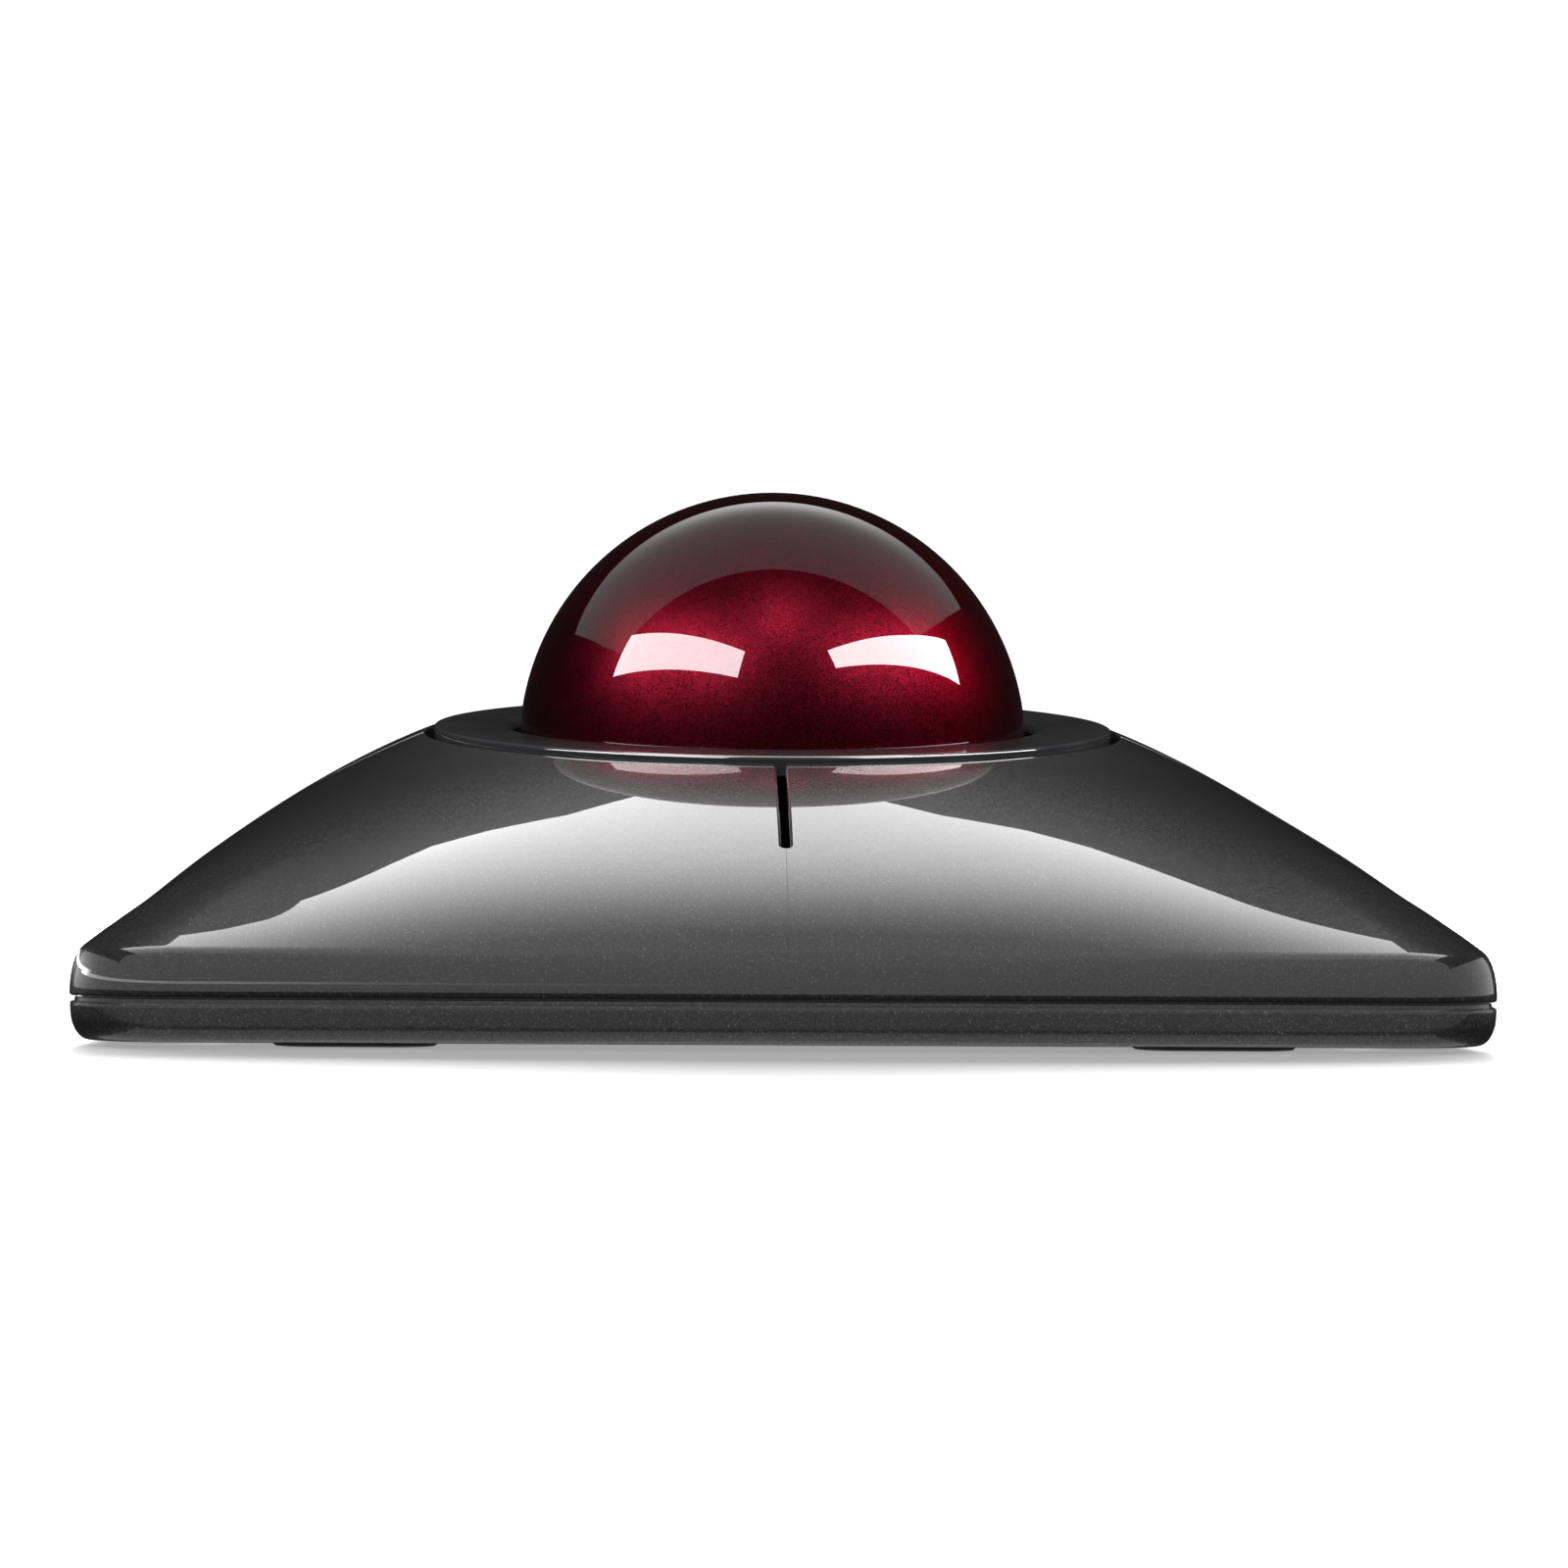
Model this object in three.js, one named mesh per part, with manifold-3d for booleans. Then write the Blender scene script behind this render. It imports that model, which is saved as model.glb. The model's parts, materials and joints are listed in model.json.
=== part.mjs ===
// Cordless trackball mouse, in millimetres.
// +Z is up, -Y is the front where the wrist comes from, +X is the user's right hand side.
// The origin is on the desk, under the ball's centre and at the middle of the footprint.

import * as THREE from 'three';
import { mergeVertices } from 'three/addons/utils/BufferGeometryUtils.js';
import Module from 'manifold-3d';

const wasm = await Module();
wasm.setup();

// ---- driving dimensions ----

const WIDTH = 133;              // footprint along X
const DEPTH = 149;              // footprint along Y
const CORNER = 10;              // plan radius of the footprint's corners
const GAP = 0.3;                // clearance between pieces that touch

const BALL_RADIUS = 27.5;
const BALL_CENTRE = 30.4;       // height of the ball's centre
const TILT = THREE.MathUtils.degToRad(7.2);   // the ring plane leans down towards the front

const HOLE_RADIUS = 37.7;       // round opening in the top panel
const HOLE_LIFT = 1.54;         // panel edge above the ball's centre, along the tilted axis
const RING_INNER = 28.25;
const RING_OUTER = 36.75;
const RING_PROUD = 0.75;        // ring's top face above the panel's edge

const EDGE_HEIGHT = 9.3;        // where the sloping panel turns down into the side
const EDGE_INSET = 1.3;
const SOFTNESS = 4.7;           // exponent of the soft square between ring and edge
const SEAM_TOP = 4.6;           // upper shell's lower rim
const SEAM_BOTTOM = 4.1;        // lower shell's upper rim
const BASE = 0.5;               // lower shell's underside; the feet reach down to 0
const FLOOR = 2.0;              // inside face of the lower shell's floor
const SHELL = 2.4;              // vertical thickness of the upper shell
const WALL = 2.2;               // side wall thickness
const PANEL_FALL = { linear: 0.455, square: 0.309, lip: 0.236, lipPower: 8 };
const SQUARING = 4.4;           // how late the soft square turns into the footprint's outline

// [inset, height] pairs down the outside of each side wall.
const UPPER_WALL = [[0.9, EDGE_HEIGHT - 0.3], [0.3, 7.2], [0, 5.3], [0.1, SEAM_TOP]];
const LOWER_WALL = [[1.7, BASE], [0.75, BASE + 0.55], [0.2, 2.4], [0.05, SEAM_BOTTOM]];

const SLIT_FRONT = -60;         // Y of the front slit's closed end
const SLIT_REAR = 69;           // Y of the rear slit's closed end
const SLIT_SIDE = { x: 61.5, y: -14 };         // closed end of each side slit
const SIDE_START = { x: 37.58, y: -3 };        // where each side slit leaves the opening
const SIDE_LEAD = 20;           // each slit's edge line is started this far inside the opening
const SLIT_WIDTH = 0.9;
const HINGE_GAP = 0.5;          // between a key plate and the frame, along the hinge line
const KEY_THICKNESS = 2.2;

const CUP_INNER = 28.3;
const CUP_OUTER = 29.5;
const CUP_HOLE = 12.5;          // radius of the cup's open bottom
const CUP_WRAP = Math.PI * 0.47;    // the cup reaches this far up from straight down
const CUP_FLANGE = { radius: 36.3, top: -0.1, thickness: 1.3 };
const BEARING_RADIUS = 1.25;
const BEARING_GAP = 0.15;
const BEARING_SEAT = { radius: 2.6, from: 28.8, to: 31.2, margin: 0.25, depth: 30.3 };
const SENSOR_SEAT = { radius: 5.6, from: 28.9, to: 31.6, window: 3.0, recess: 4.6, recessFrom: 30.2 };
const SENSOR_LENS = [[0, 30.5], [4.2, 30.5], [4.2, 31.2], [2.6, 31.5], [0, 31.9]];
const SENSOR_CHIP = { half: 4.5, from: 32.2, to: 34.2 };
const SENSOR_BOARD = { halfX: 6.5, halfY: 7.5, from: 34.5, to: 35.7 };

const BOARD_BOTTOM = 3.2;
const BOARD_TOP = 4.6;
const FRONT_BOARD = 11.4;       // underside of the front switch board
const REAR_BOARD = 19.4;        // underside of the rear switch board
const BOARD_THICKNESS = 1.4;
const SWITCH_SIZE = { x: 5.8, y: 12.8, z: 6.5 };
const SWITCH_X = 9;             // micro-switches stand this far either side of the centre line
const SWITCH_FRONT = -43.2;
const SWITCH_REAR = 44.4;
const PLUNGER_PROUD = 1.0;

const SWITCH_BORE = { radius: 1.15, depth: 3 };
const PLUNGER = { radius: 0.85, sunk: 1.6 };
const KEY_POST = { radius: 1.6, sunk: 1.0 };
const SWITCH_BOARD = { halfX: 32, halfY: 6.5, corner: 1.5 };

const POST_X = 28;              // posts under the two switch boards
const POST_FRONT = -45;
const POST_REAR = 46;
const REST_X = 46;              // low posts beside the ball, under the main board
const STANDOFF = 2.4;           // radius of all these posts
const STANDOFF_HOLE = 3;        // the main board's clearance round them
const ROOT = 0.4;               // posts are sunk this far into the floor
const CASE_SCREW = { x: 54, y: 62, head: 2.55, bottom: 0.75, top: 1.9, shank: 1.25, tip: 10.6 };
const CASE_POST = { radius: 3.2, bottom: 6.1, margin: 2.4, below: 0.6 };
const CASE_BOSS = { radius: 3.8, top: 5.8 };
const CASE_HOLE = { radius: 1.6, bottom: 5, top: 11.5, sink: 2.9, sinkTop: 2.2 };
const LEG_RADIUS = 33.6;        // plan distance of the cup's legs from the ball's axis
const LEG = { radius: 2.2, bore: 1.35, boreTop: 8, into: 0.4, clearance: 2.8 };
const CUP_SCREW = { head: 2.05, bottom: 0.65, top: 1.1, shank: 1.0, tip: 7.4 };
const CUP_SCREW_HOLE = { radius: 1.5, sink: 2.4, sinkTop: 1.4 };
const FOOT = { x: 40, y: 65, length: 15.2, width: 8.4 };
const FOOT_RECESS = 0.6;        // how deep the pads are let into the lower shell
const MODE = { x: -38, y: 14, slotX: 5.9, slotY: 1.9 };    // mode slider and its slot
const MODE_BODY = { halfX: 4.6, halfY: 2, top: 5.6 };
const MODE_RAIL = { halfX: 4, halfY: 0.9, depth: 1.1 };    // track the slider's stem runs in
const MODE_KNOB = { halfX: 2.5, halfY: 1.5 };
const MODE_STEM = { halfX: 0.9, halfY: 0.5, up: 1.0, down: 0.3 };
const MODE_GROOVES = { offsets: [-1.5, -0.5, 0.5, 1.5], halfWidth: 0.2, depth: 0.25 };
const PAIR = { x: 38, y: 14, radius: 2.6 };                // pairing button and its hole
const PAIR_BODY = 2.4;          // half width of the switch above the pairing button
const PAIR_BODY_HEIGHTS = { bottom: 2.9, top: 5.4 };
const PAIR_BUTTON_TOP = 2.3;
const RECESSED = 0.2;           // both controls stand this far inside the underside

const BOARD = { x: 50, front: -54, rear: 70, corner: 5, middleHole: 20 };
const BOARD_NOTCH = { inner: 44, outer: 51, front: 55, rear: 71 };   // room for the case posts
const BATTERY = { half: 23, front: 33, rear: 63, top: 10.4, corner: 2 };
const RIBBON = { halfWidth: 3, halfThickness: 0.2, frontY: -48.5, rearX: 28, rearY: 50.8 };
const CHIP = { x: 0, y: -32, half: 4, top: BOARD_TOP + 1.4 };
const RADIO = { x0: 34, x1: 47, y0: -50, y1: -36, top: BOARD_TOP + 2.4, corner: 0.6 };
const SPEAKER = { x: -41, y: -43, radius: 6, top: BOARD_TOP + 3.3 };
const PORT = { halfWidth: 4.9, top: 8.5, inwards: 6 };     // opening for the USB socket
const SOCKET = { halfWidth: 4.45, halfHeight: 1.6, length: 7.3, wall: 0.35, setBack: 0.6 };
const TONGUE = { halfWidth: 3.3, halfHeight: 0.35, back: 0.4, front: 0.8 };
const OVER = 2;                 // how far cutting tools pass beyond the face they open

// ---- small helpers ----

function material(color, roughness, metalness = 0) {
  return new THREE.MeshStandardMaterial({ color, roughness, metalness });
}

const plastic = () => material(0x2b2c2e, 0.25, 0.2);
const glossBlack = () => material(0x0b0b0c, 0.08);
const switchBlack = () => material(0x17171a, 0.5);
const circuitGreen = () => material(0x14532d, 0.5);
const steel = () => material(0xb9bcc0, 0.3, 1);

function indexed(geometry) {
  const plain = geometry.index ? geometry.toNonIndexed() : geometry.clone();
  plain.deleteAttribute('normal');
  plain.deleteAttribute('uv');
  return mergeVertices(plain, 1e-4);
}

function toSolid(geometry) {
  const plain = indexed(geometry);
  return new wasm.Manifold(new wasm.Mesh({
    numProp: 3,
    vertProperties: new Float32Array(plain.attributes.position.array),
    triVerts: new Uint32Array(plain.index.array),
  }));
}

function fromSolid(solid) {
  const mesh = solid.getMesh();
  const geometry = new THREE.BufferGeometry();
  geometry.setAttribute('position', new THREE.BufferAttribute(mesh.vertProperties, 3));
  geometry.setIndex(new THREE.BufferAttribute(mesh.triVerts, 1));
  geometry.computeVertexNormals();
  return geometry;
}

function cut(base, tools) {
  return fromSolid(tools.reduce((solid, tool) => solid.subtract(toSolid(tool)), toSolid(base)));
}

function join(base, additions) {
  return fromSolid(additions.reduce((solid, more) => solid.add(toSolid(more)), toSolid(base)));
}

function box(x0, x1, y0, y1, z0, z1) {
  const geometry = new THREE.BoxGeometry(x1 - x0, y1 - y0, z1 - z0);
  return geometry.translate((x0 + x1) / 2, (y0 + y1) / 2, (z0 + z1) / 2);
}

// A box about an upright axis, given its half sizes.
function centredBox(centre, halfX, halfY, z0, z1) {
  return box(centre.x - halfX, centre.x + halfX, centre.y - halfY, centre.y + halfY, z0, z1);
}

// An upright round bar between two heights.
function bar(x, y, radius, z0, z1, segments = 16) {
  const geometry = new THREE.CylinderGeometry(radius, radius, z1 - z0, segments);
  return geometry.rotateX(Math.PI / 2).translate(x, y, (z0 + z1) / 2);
}

// A flat plate with rounded corners between two heights.
function plate(x0, x1, y0, y1, z0, z1, radius, curveSegments = 4) {
  const shape = new THREE.Shape();
  shape.moveTo(x0 + radius, y0);
  shape.lineTo(x1 - radius, y0);
  shape.absarc(x1 - radius, y0 + radius, radius, -Math.PI / 2, 0);
  shape.lineTo(x1, y1 - radius);
  shape.absarc(x1 - radius, y1 - radius, radius, 0, Math.PI / 2);
  shape.lineTo(x0 + radius, y1);
  shape.absarc(x0 + radius, y1 - radius, radius, Math.PI / 2, Math.PI);
  shape.lineTo(x0, y0 + radius);
  shape.absarc(x0 + radius, y0 + radius, radius, Math.PI, 1.5 * Math.PI);
  const geometry = new THREE.ExtrudeGeometry(shape, { depth: z1 - z0, bevelEnabled: false, curveSegments });
  return geometry.translate(0, 0, z0);
}

// A body of revolution about Z from [radius, height] pairs.
function turned(profile, segments) {
  const points = profile.map(([radius, height]) => new THREE.Vector2(radius, height));
  return new THREE.LatheGeometry(points, segments).rotateX(Math.PI / 2);
}

function meshFromPoints(points, faces) {
  const geometry = new THREE.BufferGeometry();
  const flat = points.flatMap((point) => [point.x, point.y, point.z]);
  geometry.setAttribute('position', new THREE.Float32BufferAttribute(flat, 3));
  geometry.setIndex(faces);
  geometry.computeVertexNormals();
  return geometry;
}

// Joins equal rings of points into a skin. Each ring closes on itself.
function ringFaces(ringCount, ringSize, closed) {
  const faces = [];
  const spans = closed ? ringCount : ringCount - 1;
  for (let ring = 0; ring < spans; ring += 1) {
    const next = (ring + 1) % ringCount;
    for (let i = 0; i < ringSize; i += 1) {
      const j = (i + 1) % ringSize;
      const a = ring * ringSize + i;
      const b = ring * ringSize + j;
      const c = next * ringSize + j;
      const d = next * ringSize + i;
      faces.push(a, b, c, a, c, d);
    }
  }
  return faces;
}

// ---- the outer form ----

// Distance from the origin to the footprint's rounded outline, drawn in by an inset.
function outlineRadius(angle, inset) {
  const halfX = WIDTH / 2 - inset;
  const halfY = DEPTH / 2 - inset;
  const radius = CORNER - inset;
  const c = Math.abs(Math.cos(angle));
  const s = Math.abs(Math.sin(angle));
  const straight = Math.min(halfX / Math.max(c, 1e-9), halfY / Math.max(s, 1e-9));
  const centreX = halfX - radius;
  const centreY = halfY - radius;
  if (straight * c <= centreX || straight * s <= centreY) {
    return straight;
  }
  const along = c * centreX + s * centreY;
  return along + Math.sqrt(along ** 2 - centreX ** 2 - centreY ** 2 + radius ** 2);
}

// The panel's fall, 0 at the round opening and 1 at the outer edge.
function fall(u) {
  const { linear, square, lip, lipPower } = PANEL_FALL;
  return linear * u + square * u ** 2 + lip * u ** lipPower;
}

// Level curves of the panel: a circle at the opening, a soft square part way down, and the
// footprint's own rounded rectangle at the edge.
function contourRadius(angle, u) {
  const c = Math.abs(Math.cos(angle)) / (WIDTH / 2 - EDGE_INSET);
  const s = Math.abs(Math.sin(angle)) / (DEPTH / 2 - EDGE_INSET);
  const soft = (c ** SOFTNESS + s ** SOFTNESS) ** (-1 / SOFTNESS);
  const sharp = outlineRadius(angle, EDGE_INSET);
  const outer = soft + (sharp - soft) * u ** SQUARING;
  return HOLE_RADIUS + (outer - HOLE_RADIUS) * u;
}

// Height of the sloping top panel above any point of the footprint.
function panelHeight(x, y) {
  const angle = Math.atan2(y, x);
  const radius = Math.hypot(x, y);
  let low = 0;
  let high = 1;
  for (let step = 0; step < 30; step += 1) {
    const middle = (low + high) / 2;
    if (contourRadius(angle, middle) < radius) {
      low = middle;
    } else {
      high = middle;
    }
  }
  const rimCentre = BALL_CENTRE + HOLE_LIFT / Math.cos(TILT);
  const rim = rimCentre + HOLE_RADIUS * Math.sin(angle) * Math.tan(TILT);
  return rim - (rim - EDGE_HEIGHT) * fall(low);
}

// Angles across the four rounded corners of the footprint.
function cornerAngles(steps) {
  const from = Math.atan2(DEPTH / 2 - CORNER, WIDTH / 2);
  const to = Math.atan2(DEPTH / 2, WIDTH / 2 - CORNER);
  const angles = [];
  for (let step = 0; step <= steps; step += 1) {
    const angle = from + (to - from) * step / steps;
    angles.push(angle, Math.PI - angle, Math.PI + angle, 2 * Math.PI - angle);
  }
  return angles.sort((a, b) => a - b);
}

// Angles for a walk round the panel: even steps, the corners, and the side slits' ends.
function walkAngles() {
  const angles = cornerAngles(4);
  for (let degree = 0; degree < 360; degree += 7.5) {
    angles.push(THREE.MathUtils.degToRad(degree));
  }
  const side = Math.atan2(SLIT_SIDE.y, SLIT_SIDE.x);
  angles.push(2 * Math.PI + side, Math.PI - side);
  angles.sort((a, b) => a - b);
  return angles.filter((angle, i) => i === 0 || angle - angles[i - 1] > 0.004);
}

// ---- the keys' hinge lines ----

// A key plate hangs on the straight line between the closed ends of its two slits.
function hingeLine(endY) {
  const end = { x: 0, y: endY };
  const length = Math.hypot(SLIT_SIDE.x - end.x, SLIT_SIDE.y - end.y);
  const nx = Math.abs(SLIT_SIDE.y - end.y) / length;
  const ny = Math.sign(endY) * (SLIT_SIDE.x - end.x) / length;
  return { nx, ny, distance: end.y * ny };
}

const FRONT_LINE = hingeLine(SLIT_FRONT);
const REAR_LINE = hingeLine(SLIT_REAR);

// Distance from the origin to the nearer hinge line in one direction, moved out by half the gap.
function hingeRadius(angle) {
  const c = Math.abs(Math.cos(angle));
  const s = Math.sin(angle);
  const reach = [FRONT_LINE, REAR_LINE].map((line) => {
    const across = c * line.nx + s * line.ny;
    return across > 1e-6 ? (line.distance + HINGE_GAP / 2) / across : Infinity;
  });
  return Math.min(...reach);
}

// ---- upper shell: the frame round the four keys, with the side wall ----

function topShellSection(angle) {
  const c = Math.cos(angle);
  const s = Math.sin(angle);
  const at = (radius, z) => new THREE.Vector3(radius * c, radius * s, z);
  const onPanel = (radius, drop) => at(radius, panelHeight(radius * c, radius * s) - drop);
  const inner = hingeRadius(angle);
  const outer = outlineRadius(angle, EDGE_INSET);
  const across = (share) => inner + (outer - inner) * share;
  const innerWall = outlineRadius(angle, WALL + 0.2);
  const under = (share) => inner + (innerWall - inner) * share;
  return [
    onPanel(inner, 0),
    onPanel(across(0.25), 0),
    onPanel(across(0.5), 0),
    onPanel(across(0.75), 0),
    onPanel(outer, 0),
    ...UPPER_WALL.map(([inset, z]) => at(outlineRadius(angle, inset), z)),
    at(outlineRadius(angle, WALL), SEAM_TOP),
    onPanel(under(1), SHELL),
    onPanel(under(0.66), SHELL),
    onPanel(under(0.33), SHELL),
    onPanel(inner, SHELL),
  ];
}

function topShell() {
  const sections = walkAngles().map(topShellSection);
  const faces = ringFaces(sections.length, sections[0].length, true);
  const skin = meshFromPoints(sections.flat(), faces);
  const posts = [];
  const holes = [];
  for (const x of [-CASE_SCREW.x, CASE_SCREW.x]) {
    for (const y of [-CASE_SCREW.y, CASE_SCREW.y]) {
      const outerX = x + CASE_POST.margin * Math.sign(x);
      const outerY = y + CASE_POST.margin * Math.sign(y);
      const top = panelHeight(outerX, outerY) - CASE_POST.below;
      posts.push(bar(x, y, CASE_POST.radius, CASE_POST.bottom, top, 12));
      holes.push(bar(x, y, CASE_HOLE.radius, CASE_HOLE.bottom, CASE_HOLE.top, 8));
    }
  }
  const inside = DEPTH / 2 - PORT.inwards;
  const port = box(-PORT.halfWidth, PORT.halfWidth, inside, DEPTH / 2 + OVER, SEAM_TOP - OVER, PORT.top);
  return cut(join(skin, posts), [...holes, port]);
}

// ---- lower shell ----

function outlineRing(inset, z) {
  return cornerAngles(5).map((angle) => {
    const radius = outlineRadius(angle, inset);
    return new THREE.Vector3(radius * Math.cos(angle), radius * Math.sin(angle), z);
  });
}

// A stack of equal rings, closed by a fan at both ends. The stack runs upwards on the outside.
function loft(rings) {
  const size = rings[0].length;
  const points = rings.flat();
  const faces = ringFaces(rings.length, size, false);
  const first = points.length;
  const last = first + 1;
  points.push(new THREE.Vector3(0, 0, rings[0][0].z));
  points.push(new THREE.Vector3(0, 0, rings.at(-1)[0].z));
  const start = (rings.length - 1) * size;
  for (let i = 0; i < size; i += 1) {
    const j = (i + 1) % size;
    faces.push(first, j, i);
    faces.push(last, start + i, start + j);
  }
  return meshFromPoints(points, faces);
}

function legPlaces() {
  return [45, 135, 225, 315].map((degree) => {
    const angle = THREE.MathUtils.degToRad(degree);
    return { x: LEG_RADIUS * Math.cos(angle), y: LEG_RADIUS * Math.sin(angle) };
  });
}

function lowerShell() {
  const tray = loft([
    ...LOWER_WALL.map(([inset, z]) => outlineRing(inset, z)),
    outlineRing(WALL, SEAM_BOTTOM),
    outlineRing(WALL + 0.1, FLOOR),
  ]);
  const bosses = [];
  const holes = [];
  for (const x of [-CASE_SCREW.x, CASE_SCREW.x]) {
    for (const y of [-CASE_SCREW.y, CASE_SCREW.y]) {
      bosses.push(bar(x, y, CASE_BOSS.radius, FLOOR - ROOT, CASE_BOSS.top, 12));
      holes.push(bar(x, y, CASE_HOLE.radius, 0, CASE_BOSS.top + OVER, 8));
      holes.push(bar(x, y, CASE_HOLE.sink, 0, CASE_HOLE.sinkTop, 16));
    }
  }
  for (const side of [-1, 1]) {
    bosses.push(bar(side * POST_X, POST_FRONT, STANDOFF, FLOOR - ROOT, FRONT_BOARD - GAP, 8));
    bosses.push(bar(side * POST_X, POST_REAR, STANDOFF, FLOOR - ROOT, REAR_BOARD - GAP, 8));
    bosses.push(bar(side * REST_X, 0, STANDOFF, FLOOR - ROOT, BOARD_BOTTOM - GAP, 8));
  }
  for (const leg of legPlaces()) {
    holes.push(bar(leg.x, leg.y, CUP_SCREW_HOLE.radius, 0, FLOOR + OVER, 8));
    holes.push(bar(leg.x, leg.y, CUP_SCREW_HOLE.sink, 0, CUP_SCREW_HOLE.sinkTop, 14));
  }
  for (const x of [-FOOT.x, FOOT.x]) {
    for (const y of [-FOOT.y, FOOT.y]) {
      holes.push(footPlate(x, y, GAP, 0, BASE + FOOT_RECESS));
    }
  }
  holes.push(centredBox(MODE, MODE.slotX, MODE.slotY, 0, FLOOR + OVER));
  holes.push(bar(PAIR.x, PAIR.y, PAIR.radius, 0, FLOOR + OVER, 20));
  return cut(join(tray, bosses), holes);
}

// A foot pad's outline with round ends, grown by a margin.
function footPlate(x, y, margin, z0, z1) {
  const halfX = FOOT.length / 2 + margin;
  const halfY = FOOT.width / 2 + margin;
  return plate(x - halfX, x + halfX, y - halfY, y + halfY, z0, z1, halfY - 0.01, 5);
}

// ---- key plates ----

function lineCrossing(point, direction, line, inward) {
  const along = direction.x * line.nx + direction.y * line.ny;
  const t = (line.distance - inward - point.x * line.nx - point.y * line.ny) / along;
  return { x: point.x + direction.x * t, y: point.y + direction.y * t };
}

function circleCrossing(point, direction, radius) {
  const b = point.x * direction.x + point.y * direction.y;
  const t = -b + Math.sqrt(b * b - point.x ** 2 - point.y ** 2 + radius ** 2);
  return { x: point.x + direction.x * t, y: point.y + direction.y * t };
}

// The right-hand key plate, front or rear. Its mirror image serves the left.
function keyPlate(front) {
  const line = front ? FRONT_LINE : REAR_LINE;
  const towards = front ? -1 : 1;
  const length = Math.hypot(SLIT_SIDE.x - SIDE_START.x, SLIT_SIDE.y - SIDE_START.y);
  const sideRun = { x: (SLIT_SIDE.x - SIDE_START.x) / length, y: (SLIT_SIDE.y - SIDE_START.y) / length };
  const middleRun = { x: 0, y: towards };
  const half = SLIT_WIDTH / 2;
  const sideStart = {
    x: SIDE_START.x - sideRun.x * SIDE_LEAD - sideRun.y * half * towards,
    y: SIDE_START.y - sideRun.y * SIDE_LEAD + sideRun.x * half * towards,
  };
  const middleStart = { x: half, y: 0 };

  const innerSide = circleCrossing(sideStart, sideRun, HOLE_RADIUS);
  const innerMiddle = circleCrossing(middleStart, middleRun, HOLE_RADIUS);
  const outerSide = lineCrossing(sideStart, sideRun, line, HINGE_GAP / 2);
  const outerMiddle = lineCrossing(middleStart, middleRun, line, HINGE_GAP / 2);
  const angleSide = Math.atan2(innerSide.y, innerSide.x);
  const angleMiddle = Math.atan2(innerMiddle.y, innerMiddle.x);

  const across = 12;
  const along = 4;
  const section = (s) => {
    const angle = angleSide + (angleMiddle - angleSide) * s;
    const innerX = HOLE_RADIUS * Math.cos(angle);
    const innerY = HOLE_RADIUS * Math.sin(angle);
    const outerX = outerSide.x + (outerMiddle.x - outerSide.x) * s;
    const outerY = outerSide.y + (outerMiddle.y - outerSide.y) * s;
    const top = [];
    for (let i = 0; i <= along; i += 1) {
      const t = i / along;
      const x = innerX + (outerX - innerX) * t;
      const y = innerY + (outerY - innerY) * t;
      top.push(new THREE.Vector3(x, y, panelHeight(x, y)));
    }
    const bottom = top.map((point) => point.clone().setZ(point.z - KEY_THICKNESS)).reverse();
    return [...top, ...bottom];
  };
  const sections = [];
  for (let i = 0; i <= across; i += 1) {
    sections.push(section(i / across));
  }
  if (front) {
    sections.reverse();
  }
  return closeSections(sections, along);
}

// Skins a row of strip sections and closes both ends, each with two rows of quads.
function closeSections(sections, along) {
  const size = sections[0].length;
  const faces = ringFaces(sections.length, size, false);
  const end = (sections.length - 1) * size;
  for (let i = 0; i < along; i += 1) {
    const low = size - 1 - i;
    faces.push(i, low, low - 1, i, low - 1, i + 1);
    faces.push(end + i, end + low - 1, end + low, end + i, end + i + 1, end + low - 1);
  }
  return meshFromPoints(sections.flat(), faces);
}

function mirrored(geometry) {
  const copy = indexed(geometry);
  copy.scale(-1, 1, 1);
  const index = copy.index.array;
  for (let i = 0; i < index.length; i += 3) {
    const first = index[i];
    index[i] = index[i + 1];
    index[i + 1] = first;
  }
  copy.computeVertexNormals();
  return copy;
}

function keyWithPost(front) {
  const y = front ? SWITCH_FRONT : SWITCH_REAR;
  const plungerTop = switchTop(front) + PLUNGER_PROUD;
  const underside = panelHeight(SWITCH_X, y) - KEY_THICKNESS;
  const post = bar(SWITCH_X, y, KEY_POST.radius, plungerTop + GAP, underside + KEY_POST.sunk, 12);
  return join(keyPlate(front), [post]);
}

// ---- ring, cup, ball and bearings, all turned about the tilted axis ----

const TURNED = new THREE.Group();
TURNED.position.set(0, 0, BALL_CENTRE);
TURNED.rotation.x = TILT;

function bezelRing() {
  const top = HOLE_LIFT + RING_PROUD;
  const bottom = 0.2;
  return turned([
    [RING_INNER, bottom],
    [RING_OUTER - 0.3, bottom],
    [RING_OUTER, bottom + 0.3],
    [RING_OUTER, top - 0.5],
    [RING_OUTER - 0.15, top - 0.15],
    [RING_OUTER - 0.5, top],
    [RING_INNER + 1.6, top],
    [RING_INNER + 0.6, top - 0.2],
    [RING_INNER + 0.1, top - 0.8],
    [RING_INNER, bottom],
  ], 48);
}

function pointOnSphere(radius, angle) {
  return [radius * Math.sin(angle), -radius * Math.cos(angle)];
}

// Moves a tool that points along +Z so that it points from the ball's centre at an azimuth,
// a given angle up from straight down.
function aim(geometry, azimuth, fromDown) {
  return geometry.rotateX(Math.PI).rotateY(-fromDown).rotateZ(azimuth);
}

const AXIS = { x: 0, y: 0 };
const BEARING_FROM_DOWN = THREE.MathUtils.degToRad(48);
const BEARING_AZIMUTHS = [90, 210, 330].map(THREE.MathUtils.degToRad);
const SENSOR_FROM_DOWN = THREE.MathUtils.degToRad(60);
const SENSOR_AZIMUTHS = [180, 0].map(THREE.MathUtils.degToRad);

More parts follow.
